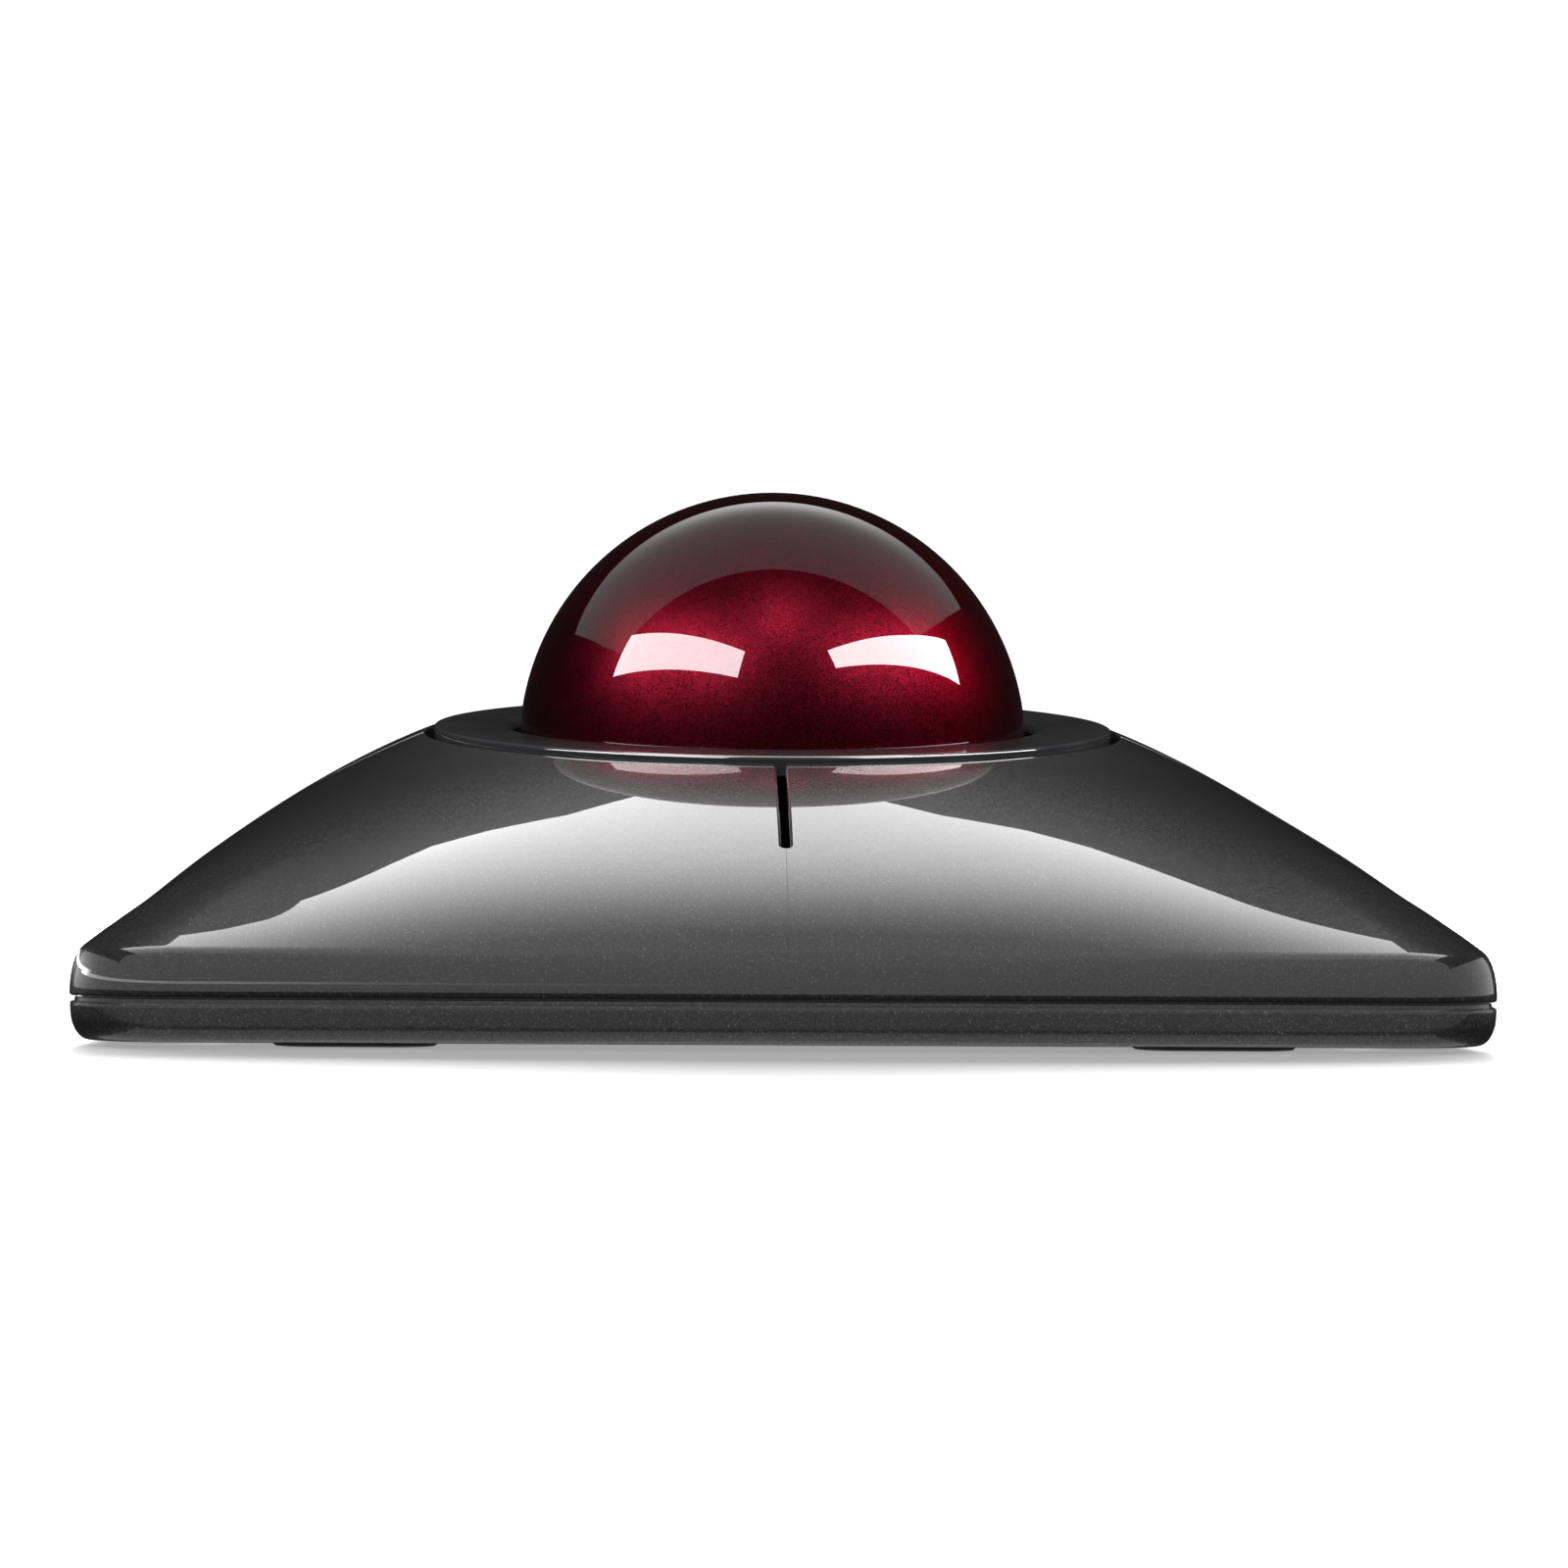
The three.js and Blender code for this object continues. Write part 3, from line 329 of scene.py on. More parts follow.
def panel_quadrant(name, towards, hand):
    levels = panel_levels()
    middle_end = SLIT_FRONT if towards < 0 else SLIT_REAR
    straight = contour_radius(np.full_like(levels, towards * math.pi / 2), levels)
    middle_half = slit_half_width(straight, middle_end)
    on_line = panel_point(side_angle(levels, 0.0, towards), levels)[..., :2] - SIDE_START
    side_half = slit_half_width(on_line @ SIDE_RUN, SIDE_LENGTH)

    middle_steps = ROUND_STEPS + (PORT_STEPS if towards > 0 else [])
    side_columns = [side_angle(levels, side_half + step, towards) for step in ROUND_STEPS]
    middle_columns = [middle_angle(levels, middle_half + step, towards) for step in middle_steps]
    first, last = side_columns[-1], middle_columns[-1]
    corner = math.radians(CORNER_ANGLE) * towards
    centre = float((corner - first[-1]) / (last[-1] - first[-1]))
    between = [first + (last - first) * f for f in corner_spread(COLUMNS, centre)[1:-1]]
    angle = np.stack(side_columns + between + middle_columns[::-1])
    u = np.broadcast_to(levels, angle.shape)

    top = panel_point(angle, u)
    normal = panel_normal(angle, u)
    under = top - np.array([0, 0, KEY_THICKNESS])
    slit_gap, slit_way = slit_distance(top[..., :2])
    drop, sine, cosine = rounded(slit_gap, SLIT_ROUND)
    hole_gap = np.hypot(top[..., 0], top[..., 1]) - HOLE_RADIUS
    hole_drop, hole_sine, hole_cosine = rounded(hole_gap, SLIT_ROUND)
    hole_way = -unit(top[..., :2])
    flat = np.zeros(angle.shape + (1,))
    top_normal = unit(
        normal * (cosine * hole_cosine)[..., None]
        + np.concatenate([slit_way, flat], -1) * sine[..., None]
        + np.concatenate([hole_way, flat], -1) * hole_sine[..., None]
    )
    top = top - np.stack([0 * drop, 0 * drop, np.maximum(drop, hole_drop)], -1)

    # side wall, as rows that go on from the panel's edge
    edge_angle = angle[:, -1]
    edge_normal = panel_normal(edge_angle, np.ones_like(edge_angle))
    slope = np.hypot(edge_normal[:, 0], edge_normal[:, 1]) / edge_normal[:, 2]
    edge_x = top[:, -1, 0]
    rim = port_rim(edge_x) if towards > 0 else np.full_like(edge_x, SEAM_TOP)
    heading = np.stack([np.cos(edge_angle), np.sin(edge_angle)], -1)
    core = np.array([WIDTH / 2 - CORNER, DEPTH / 2 - CORNER])
    skirt, skirt_normal = [], []
    for share in SKIRT_SHARES:
        filled = np.full_like(slope, share)
        here = side_profile(slope, filled, rim)
        before = side_profile(slope, filled - SHARE_STEP, rim)
        after = side_profile(slope, np.minimum(filled + SHARE_STEP, 1), rim)
        run = unit(after - before)
        plan = heading * outline_radius(edge_angle, -here[:, 0])[:, None]
        outward = unit(np.maximum(np.abs(plan) - core, 0) * np.sign(plan))
        skirt.append(np.concatenate([plan, here[:, 1:]], -1))
        skirt_normal.append(np.concatenate([outward * -run[:, 1:], run[:, :1]], -1))
    skirt = np.stack(skirt, 1)
    skirt_normal = unit(np.stack(skirt_normal, 1))

    # inside faces, matched to the outside point for point
    reach = np.hypot(under[..., 0], under[..., 1])
    under[..., :2] *= (np.minimum(reach, outline_radius(angle, WALL)) / reach)[..., None]
    wall = heading * outline_radius(edge_angle, WALL)[:, None]
    roof = under[:, -1, 2]
    inner_rows = [np.concatenate([wall, (roof + (rim - roof) * share)[:, None]], -1) for share in SKIRT_SHARES]
    inner_skirt = np.stack(inner_rows, 1)

    outside = np.concatenate([top, skirt], 1)
    inside = np.concatenate([under, inner_skirt], 1)
    normals = np.concatenate([top_normal, skirt_normal], 1)
    columns, rows = outside.shape[:2]
    size = columns * rows
    points = np.concatenate([outside.reshape(-1, 3), inside.reshape(-1, 3)])
    flip = (towards < 0) == (hand < 0)
    mirror = np.array([hand, 1, 1])
    points = points * mirror
    normals = (normals * mirror).reshape(-1, 3)

    outer_faces = grid_faces(columns, rows, flip=not flip)
    inner_faces = grid_faces(columns, rows, start=size, flip=flip)
    faces = outer_faces + inner_faces
    rims = [(j * rows + i, (j + 1) * rows + i, i == 0) for i in (0, rows - 1) for j in range(columns - 1)]
    rims += [(j * rows + i, j * rows + i + 1, j > 0) for j in (0, columns - 1) for i in range(rows - 1)]
    for a, b, forwards in rims:
        quad = (a, b, b + size, a + size)
        faces.append(quad if forwards != flip else quad[::-1])
    obj = make_object(name, points, faces)

    # the outside is shaded by the form's own normals, the rest flat
    mesh = obj.data
    vertex = np.empty(len(mesh.loops), np.int32)
    mesh.loops.foreach_get("vertex_index", vertex)
    face_normal = np.empty(len(mesh.polygons) * 3, np.float32)
    mesh.polygons.foreach_get("normal", face_normal)
    totals = np.empty(len(mesh.polygons), np.int32)
    mesh.polygons.foreach_get("loop_total", totals)
    loop_face = np.repeat(np.arange(len(totals)), totals)
    loop_normal = face_normal.reshape(-1, 3)[loop_face]
    on_outside = loop_face < len(outer_faces)
    loop_normal[on_outside] = normals[vertex[on_outside]]
    mesh.normals_split_custom_set([tuple(n) for n in unit(loop_normal.astype(float))])
    return obj


# ---- turned pieces ----


def smooth_profile(corners, steps):
    """A profile of (radius, height, rounding) corners as points, each corner turned in an arc."""
    points = []
    count = len(corners)
    for i, (x, z, radius) in enumerate(corners):
        here = np.array([x, z])
        before = np.array(corners[i - 1][:2])
        after = np.array(corners[(i + 1) % count][:2])
        if radius <= 0:
            points.append(here)
            continue
        a, b = unit(before - here), unit(after - here)
        for k in range(steps + 1):
            t = k / steps
            start, end = here + a * radius, here + b * radius
            points.append((1 - t) ** 2 * start + 2 * (1 - t) * t * here + t * t * end)
    return np.array(points)


def turned(name, profile, segments, place=None, closed=True):
    """A body of revolution about Z. An open profile starts and ends on the axis."""
    angles = np.linspace(0, 2 * math.pi, segments, endpoint=False)
    profile = np.asarray(profile, float)
    body = profile if closed else profile[1:-1]
    circle = np.stack([np.cos(angles), np.sin(angles)], -1)
    points = np.concatenate([np.concatenate([r * circle, np.full((segments, 1), z)], -1) for r, z in body])
    faces = grid_faces(len(body), segments, close_rows=closed, close_columns=True)
    if not closed:
        first, last = len(points), len(points) + 1
        points = np.concatenate([points, [[0, 0, profile[0][1]], [0, 0, profile[-1][1]]]])
        final = (len(body) - 1) * segments
        for j in range(segments):
            m = (j + 1) % segments
            faces += [(first, m, j), (last, final + j, final + m)]
    if place is not None:
        points = place(points)
    return make_object(name, points, faces)


def tilted(points):
    """Points of the ball's own frame, leaned towards the front and lifted to the ball's centre."""
    c, s = math.cos(TILT), math.sin(TILT)
    y = points[:, 1] * c - points[:, 2] * s
    z = points[:, 1] * s + points[:, 2] * c
    return np.stack([points[:, 0], y, z + BALL_CENTRE], -1)


def quad_sphere(name, radius, centre, cuts):
    """A sphere from the six sides of a cube, with even quads and no poles."""
    bm = bmesh.new()
    bmesh.ops.create_cube(bm, size=2)
    bmesh.ops.subdivide_edges(bm, edges=bm.edges[:], cuts=cuts, use_grid_fill=True)
    for v in bm.verts:
        warp = Vector([math.tan(c * math.pi / 4) for c in v.co])
        v.co = (Vector(centre) + warp.normalized() * radius) * MM
    mesh = bpy.data.meshes.new(name)
    bm.to_mesh(mesh)
    bm.free()
    mesh.shade_smooth()
    return add_object(name, mesh)


# ---- lower shell and what is fixed in its underside ----

CORNER_SIGNS = [(1, 1), (-1, 1), (-1, -1), (1, -1)]
HOLE_DEPTH = 2.6       # height that the underside's holes reach
CASE_SIDE = [(2.6, BASE), (1.95, BASE)]      # inset and height, from the underside up
CASE_CURVE = [np.array(p) for p in ((1.95, BASE), (1.0, BASE), (0.42, 1.35), (0.16, 2.5))]
CASE_RIM = [(0.09, 3.1), (0.05, 3.6), (0.05, 3.86), (0.08, 3.97), (0.15, 4.06), (0.27, 4.1), (0.45, 4.1),
            (0.5, 4.48), (2.35, 4.48), (2.4, 4.85), (3.1, 4.85), (3.2, 2.0)]
CASE_HOLE, CUP_HOLE = 2.9, 2.4
MODE_SLOT = (5.9, 1.9)
POCKET = ((0.7, BASE - 0.5), (0.2, BASE), (0, BASE + 0.2), (0, BASE + 0.6))   # growth and height
POCKET_GAP = 0.3
FLARE = 0.6            # how far a cutting bar goes on past the underside, widening
FOOT_SIDE = ((0.45, 0.0), (0.25, 0.02), (0.1, 0.09), (0.02, 0.2), (0.0, 0.34), (0.0, 0.8))   # inset and height


def outline_ring(inset, z, per_corner=14, along=10):
    """Points once round the footprint's rounded outline."""
    half_x, half_y, radius = WIDTH / 2 - inset, DEPTH / 2 - inset, CORNER - inset
    points = []
    for quarter, (sx, sy) in enumerate(CORNER_SIGNS):
        cx, cy = sx * (half_x - radius), sy * (half_y - radius)
        for k in range(per_corner + 1):
            a = math.pi / 2 * (quarter + k / per_corner)
            points.append((cx + radius * math.cos(a), cy + radius * math.sin(a), z))
        nx, ny = CORNER_SIGNS[(quarter + 1) % 4]
        cx, cy = nx * (half_x - radius), ny * (half_y - radius)
        begin, finish = np.array(points[-1]), np.array([cx + radius * math.cos(a), cy + radius * math.sin(a), z])
        for k in range(1, along):
            points.append(tuple(begin + (finish - begin) * k / along))
    return points


def stadium_ring(x, y, half_x, half_y, z, segments=16):
    """Points once round an outline with half-round ends."""
    radius = min(half_x, half_y)
    points = []
    for k in range(2 * segments):
        end = 1 if k < segments else -1
        a = -math.pi / 2 + math.pi * (k % segments) / (segments - 1) + (0 if end > 0 else math.pi)
        points.append((x + end * (half_x - radius) + radius * math.cos(a), y + radius * math.sin(a), z))
    return points


def flared(chamfer):
    """Growth and height of a cutting bar's rings, opening out at the underside."""
    return (chamfer + FLARE, BASE - FLARE), (chamfer, BASE), (0, BASE + chamfer), (0, HOLE_DEPTH)


def round_cutter(x, y, radius, chamfer, segments=40):
    a = np.linspace(0, 2 * math.pi, segments, endpoint=False)
    rings = []
    for grow, z in flared(chamfer):
        rings.append([(x + (radius + grow) * math.cos(t), y + (radius + grow) * math.sin(t), z) for t in a])
    return stacked("cutter", rings, x, y)


def box_cutter(x, y, half_x, half_y, chamfer, corner, segments=5):
    rings = []
    for grow, z in flared(chamfer):
        ring = []
        for quarter, (sx, sy) in enumerate(CORNER_SIGNS):
            cx, cy, r = x + sx * (half_x - corner), y + sy * (half_y - corner), corner + grow
            for k in range(segments + 1):
                a = math.pi / 2 * (quarter + k / segments)
                ring.append((cx + r * math.cos(a), cy + r * math.sin(a), z))
        rings.append(ring)
    return stacked("cutter", rings, x, y)


def carve(obj, cutters):
    """Cuts the tools away from a mesh and applies the result."""
    for cutter in cutters:
        modifier = obj.modifiers.new("cut", "BOOLEAN")
        modifier.operation, modifier.solver, modifier.object = "DIFFERENCE", "EXACT", cutter
    bpy.context.view_layer.update()
    evaluated = obj.evaluated_get(bpy.context.evaluated_depsgraph_get())
    mesh = bpy.data.meshes.new_from_object(evaluated)
    obj.modifiers.clear()
    obj.data = mesh
    for cutter in cutters:
        bpy.data.objects.remove(cutter)


def four_places(x, y):
    """The four corners of a rectangle in plan, front left first and rear right last."""
    return [(side * x, end * y) for end in (-1, 1) for side in (-1, 1)]


def leg_places():
    return [(LEG_RADIUS * math.cos(a), LEG_RADIUS * math.sin(a)) for a in np.radians([45, 135, 225, 315])]


def lower_shell():
    curve = [tuple(cubic(k / 12, *CASE_CURVE)) for k in range(1, 13)]
    shell = stacked("lower_shell_case", [outline_ring(inset, z) for inset, z in CASE_SIDE + curve + CASE_RIM])
    tools = [round_cutter(x, y, CASE_HOLE, 0.2) for x, y in four_places(*CASE_SCREW)]
    tools += [round_cutter(x, y, CUP_HOLE, 0.2) for x, y in leg_places()]
    half_x, half_y = FOOT_LENGTH / 2 + POCKET_GAP, FOOT_WIDTH / 2 + POCKET_GAP
    for x, y in four_places(FOOT_X, FOOT_Y):
        rings = [stadium_ring(x, y, half_x + grow, half_y + grow, z) for grow, z in POCKET]
        tools.append(stacked("cutter", rings, x, y))
    tools.append(box_cutter(*MODE, *MODE_SLOT, 0.3, 0.5))
    tools.append(round_cutter(*PAIR, PAIR_HOLE, 0.3))
    carve(shell, tools)
    shell.data.shade_smooth()
    sharpen(shell, 28)
    return shell


def hex_screw(name, x, y, head_radius, head_bottom, head_top, shank_radius, tip):
    """A pan-head screw, head down, with a six-sided recess. The head's rings rise from its bottom."""
    a = np.linspace(0, 2 * math.pi, 48, endpoint=False)
    hexagon = head_radius * 0.43 / np.cos((a % (math.pi / 3)) - math.pi / 6)
    circle = np.ones(len(a))
    head = [
        (hexagon * 0.98, 0.6), (hexagon, 0.1), (hexagon * 1.06, 0.03), (circle * (head_radius * 0.62), 0),
        (circle * (head_radius - 0.35), 0.05), (circle * (head_radius - 0.14), 0.14),
        (circle * (head_radius - 0.03), 0.3), (circle * head_radius, 0.42),
    ]
    shank = [
        (circle * head_radius, head_top), (circle * shank_radius, head_top),
        (circle * shank_radius, tip - 0.6), (circle * 0.2, tip),
    ]
    rings = [(radii, head_bottom + rise) for radii, rise in head] + shank
    stack = [[(x + r * math.cos(t), y + r * math.sin(t), z) for r, t in zip(radii, a)] for radii, z in rings]
    obj = stacked(name, stack, x, y)
    sharpen(obj, 35)
    return obj


def foot_pad(name, x, y):
    half_x, half_y = FOOT_LENGTH / 2, FOOT_WIDTH / 2
    rings = [stadium_ring(x, y, half_x - inset, half_y - inset, z, 20) for inset, z in FOOT_SIDE]
    obj = stacked(name, rings, x, y)
    sharpen(obj, 50)
    return obj


# ---- materials ----


def fill_ramp(ramp, stops):
    """Sets a colour ramp's stops, given as (position, colour), where a single number is a grey."""
    elements = ramp.elements
    elements.remove(elements[-1])
    elements[0].position = stops[0][0]
    for k, (position, colour) in enumerate(stops):
        element = elements.new(position) if k else elements[0]
        element.color = (*colour, 1) if isinstance(colour, tuple) else (colour, colour, colour, 1)


class Shader:
    """A small wrapper that adds nodes and links to one material."""

    def __init__(self, name):
        self.material = bpy.data.materials.new(name)
        self.material.use_nodes = True
        self.tree = self.material.node_tree
        self.bsdf = self.tree.nodes["Principled BSDF"]
        self.place = self.add("ShaderNodeTexCoord").outputs["Object"]

    def add(self, kind, **settings):
        node = self.tree.nodes.new(kind)
        for key, value in settings.items():
            setattr(node, key, value)
        return node

    def link(self, source, target):
        self.tree.links.new(source, target)

    def set(self, **values):
        for key, value in values.items():
            self.bsdf.inputs[key.replace("_", " ")].default_value = value

    def noise(self, scale, detail=3.0, roughness=0.55, stretch=None):
        node = self.add("ShaderNodeTexNoise")
        node.inputs["Scale"].default_value = scale
        node.inputs["Detail"].default_value = detail
        node.inputs["Roughness"].default_value = roughness
        self.link(self.mapped(stretch), node.inputs["Vector"])
        return node.outputs["Fac"]

    def mapped(self, stretch):
        if stretch is None:
            return self.place
        node = self.add("ShaderNodeMapping")
        node.inputs["Scale"].default_value = stretch
        self.link(self.place, node.inputs["Vector"])
        return node.outputs["Vector"]

    def cells(self, scale):
        """A random colour for each cell."""
        node = self.add("ShaderNodeTexVoronoi")
        node.inputs["Scale"].default_value = scale
        self.link(self.place, node.inputs["Vector"])
        return node.outputs["Color"]

    def ramp(self, source, stops):
        node = self.add("ShaderNodeValToRGB")
        fill_ramp(node.color_ramp, stops)
        self.link(source, node.inputs["Fac"])
        return node.outputs["Color"]

    def mix(self, factor, a, b, blend="MIX"):
        node = self.add("ShaderNodeMix", data_type="RGBA", blend_type=blend)
        for socket, value in ((node.inputs[0], factor), (node.inputs[6], a), (node.inputs[7], b)):
            if hasattr(value, "links"):
                self.link(value, socket)
            elif isinstance(value, tuple):
                socket.default_value = value + (1,)
            else:
                socket.default_value = value
        return node.outputs[2]

    def bump(self, height, strength, distance):
        node = self.add("ShaderNodeBump")
        node.inputs["Strength"].default_value = strength
        node.inputs["Distance"].default_value = distance
        self.link(height, node.inputs["Height"])
        return node.outputs["Normal"]

    def maths(self, operation, a, b=0.0):
        node = self.add("ShaderNodeMath", operation=operation)
        for socket, value in zip(node.inputs, (a, b)):
            if hasattr(value, "links"):
                self.link(value, socket)
            else:
                socket.default_value = value
        return node.outputs["Value"]

    def curve(self, source, stops):
        """A value looked up along a line of (position, value) stops."""
        scale = max(value for _, value in stops)
        return self.maths("MULTIPLY", self.ramp(source, [(place, value / scale) for place, value in stops]), scale)

    def plan(self):
        """The place on a plane, as its x and y."""
        split = self.add("ShaderNodeSeparateXYZ")
        self.link(self.place, split.inputs["Vector"])
        return split.outputs["X"], split.outputs["Y"]

    def surface(self, shader):
        self.link(shader, self.tree.nodes["Material Output"].inputs["Surface"])

    def flakes(self, scale, tilt):
        """Surface normal that turns a little, at random, from one metal flake to the next."""
        centred = self.add("ShaderNodeVectorMath", operation="SUBTRACT")
        self.link(self.cells(scale), centred.inputs[0])
        centred.inputs[1].default_value = (0.5, 0.5, 0.5)
        small = self.add("ShaderNodeVectorMath", operation="SCALE")
        self.link(centred.outputs["Vector"], small.inputs[0])
        small.inputs["Scale"].default_value = tilt
        geometry = self.add("ShaderNodeNewGeometry")
        added = self.add("ShaderNodeVectorMath", operation="ADD")
        self.link(geometry.outputs["Normal"], added.inputs[0])
        self.link(small.outputs["Vector"], added.inputs[1])
        final = self.add("ShaderNodeVectorMath", operation="NORMALIZE")
        self.link(added.outputs["Vector"], final.inputs[0])
        return final.outputs["Vector"]

    def colour(self, source):
        self.link(source, self.bsdf.inputs["Base Color"])

    def roughness(self, source, low, high):
        self.link(self.ramp(source, [(0.25, low), (0.75, high)]), self.bsdf.inputs["Roughness"])

    def normal(self, source):
        self.link(source, self.bsdf.inputs["Normal"])


def panel_paint():
    """Charcoal lacquer with fine metal flake under a smooth clear coat."""
    s = Shader("gloss_panel")
    s.set(Metallic=0.3, Coat_Weight=1.0, Coat_Roughness=0.012, Coat_IOR=1.5, Roughness=0.4, IOR=1.2)
    base = s.ramp(s.noise(60, 2), [(0.3, (0.0185, 0.0185, 0.019)), (0.7, (0.021, 0.021, 0.0215))])
    sparkle = s.ramp(s.cells(8000), [(0.0, 0.8), (0.6, 0.95), (0.8, 1.5), (1.0, 4.2)])
    s.colour(s.mix(1.0, base, sparkle, "MULTIPLY"))
    s.roughness(s.noise(900, 3), 0.38, 0.41)
    s.normal(s.flakes(9000, 0.12))
    return s.material


def case_paint():
    """The same lacquer on the lower half, duller and darker."""
    s = Shader("lower_case")
    s.set(Metallic=0.5, Coat_Weight=0.55, Coat_Roughness=0.12, Coat_IOR=1.5, IOR=1.45)
    base = s.ramp(s.noise(80, 3), [(0.3, (0.026, 0.026, 0.027)), (0.7, (0.032, 0.032, 0.033))])
    sparkle = s.ramp(s.cells(6500), [(0.0, 0.4), (0.6, 0.9), (0.85, 1.5), (1.0, 4.0)])
    s.colour(s.mix(1.0, base, sparkle, "MULTIPLY"))
    s.roughness(s.noise(700, 3), 0.38, 0.5)
    s.normal(s.flakes(5200, 0.22))
    return s.material


def ring_gloss():
    """Black gloss moulding with the faint waviness of polished plastic."""
    s = Shader("ring_gloss")
    s.set(Coat_Weight=0.6, Coat_Roughness=0.01, IOR=1.5)
    s.colour(s.ramp(s.noise(120, 2), [(0.3, (0.012, 0.012, 0.013)), (0.7, (0.018, 0.018, 0.019))]))
    s.roughness(s.noise(300, 3), 0.05, 0.1)
    s.normal(s.bump(s.noise(45, 2), 0.06, 0.0004))
    return s.material


def ruby():
    """Deep red metallic speckle under a thick clear lacquer."""
    s = Shader("ball_ruby")
    s.set(Metallic=1.0, Coat_Weight=1.0, Coat_Roughness=0.0, Coat_IOR=1.5, IOR=1.4)
    s.set(Specular_Tint=(0.1, 0.0, 0.01, 1))
    base = s.ramp(s.noise(160, 5, 0.65), [(0.3, (0.055, 0.002, 0.0055)), (0.7, (0.085, 0.0028, 0.0085))])
    specks = s.ramp(s.cells(7500), [(0.0, 0.3), (0.35, 0.75), (0.6, 1.0), (1.0, 1.6)])
    s.colour(s.mix(1.0, base, specks, "MULTIPLY"))
    s.roughness(s.noise(700, 3), 0.36, 0.4)
    s.normal(s.flakes(7500, 0.09))
    return s.material


def moulded(name, dark, light, rough, grain=900, depth=0.00003, metallic=0.0, coat=0.0):
    """Moulded plastic or cast material with a fine grain and slight tone changes."""
    s = Shader(name)
    s.set(Metallic=metallic, Coat_Weight=coat)
    s.colour(s.ramp(s.noise(70, 4), [(0.3, dark), (0.7, light)]))
    s.roughness(s.noise(260, 3), rough - 0.06, rough + 0.06)
    s.normal(s.bump(s.noise(grain, 2), 0.5, depth))
    return s.material


def brushed(name, dark, light, rough):
    """Plated or drawn metal with fine directional marks."""
    s = Shader(name)
    s.set(Metallic=1.0)
    s.colour(s.ramp(s.noise(150, 4), [(0.3, dark), (0.7, light)]))
    s.roughness(s.noise(400, 3, stretch=(1, 14, 1)), rough - 0.06, rough + 0.08)
    s.normal(s.bump(s.noise(700, 2, stretch=(1, 14, 1)), 0.25, 0.00002))
    return s.material


def board_green():
    """Solder mask over copper traces."""
    s = Shader("circuit_board")
    s.set(Coat_Weight=0.4, Coat_Roughness=0.15)
    traces = s.add("ShaderNodeTexBrick")
    traces.inputs["Scale"].default_value = 180
    traces.inputs["Mortar Size"].default_value = 0.05
    s.link(s.place, traces.inputs["Vector"])
    mask = s.ramp(traces.outputs["Fac"], [(0.0, (0.010, 0.075, 0.030)), (1.0, (0.018, 0.13, 0.05))])
    s.colour(s.mix(s.noise(90, 3), mask, (0.012, 0.09, 0.035)))
    s.roughness(s.noise(300, 2), 0.3, 0.45)
    s.normal(s.bump(traces.outputs["Fac"], 0.3, 0.00004))
    return s.material


def lens_clear():
    s = Shader("lens_clear")
    s.set(Transmission_Weight=0.85, IOR=1.49)
    s.colour(s.ramp(s.noise(200, 2), [(0.3, (0.82, 0.86, 0.88)), (0.7, (0.88, 0.91, 0.93))]))
    s.roughness(s.noise(500, 2), 0.02, 0.06)
    return s.material


MATERIALS = {
    "gloss_panel": panel_paint(), "lower_case": case_paint(), "ring_gloss": ring_gloss(), "ball_ruby": ruby(),
    "lens_clear": lens_clear(), "circuit_board": board_green(),
    "steel": brushed("steel", (0.42, 0.42, 0.43), (0.56, 0.56, 0.57), 0.28),
}
MOULDED = {
    "cup_plastic": (0.008, 0.013, 0.45),
    "bearing_ceramic": ((0.72, 0.71, 0.68), (0.8, 0.79, 0.77), 0.16, 600, 0.00001, 0.0, 0.5),
    "ribbon_film": ((0.62, 0.6, 0.52), (0.72, 0.7, 0.63), 0.4, 400),
    "component_black": (0.012, (0.022, 0.022, 0.023), 0.5, 1500),
    "plunger_red": ((0.42, 0.03, 0.02), (0.5, 0.045, 0.03), 0.35, 800),
    "battery_wrap": ((0.42, 0.43, 0.46), (0.5, 0.51, 0.53), 0.4, 250, 0.00006, 0.5),
    "foot_rubber": (0.008, 0.014, 0.72, 1300, 0.00006),
    "small_control": ((0.035, 0.035, 0.036), (0.046, 0.046, 0.047), 0.42, 1100),
}
MATERIALS.update({name: moulded(name, *form) for name, form in MOULDED.items()})


def paint(obj, slot):
    obj.data.materials.clear()
    obj.data.materials.append(MATERIALS[slot])


def finish_piece(obj, slot, body, *nodes):
    """Gives a piece its material, the CAD nodes it stands for, and its body if one is given."""
    paint(obj, slot)
    if body is not None:
        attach(obj, body)
    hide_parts(*nodes)


# ---- pieces ----

# Each hinge line in plan: the unit normal of the right-hand key's line, and its distance from the axis.
HINGE = {-1: ((0.5990, -0.8008), 48.05), 1: ((0.8035, 0.5953), 41.07)}
HINGE_REACH = 9.0      # a distance inside the hinge line for the keys' turn; the points worked out from it are not used further
BEVEL = 0.12           # width of the bevel on the pieces shown from the CAD
RING_PROFILE = [(28.25, 0.2, 0.0), (36.75, 0.2, 0.2), (36.75, 2.29, 0.46), (28.9, 2.29, 0.7), (28.25, 1.5, 0.3)]
CAP_PROFILE = [(0, 0.95), (1.2, 0.88), (1.8, 0.76), (2.05, 0.7), (2.22, 0.74), (2.3, 0.86), (2.3, 2.3), (0, 2.3)]
CASE_SCREW_FORM = (2.55, 0.75, 1.9, 1.25, 10.6)      # head radius, bottom and top; shank radius, tip
CUP_SCREW_FORM = (2.05, 0.65, 1.4, 1.0, 7.4)

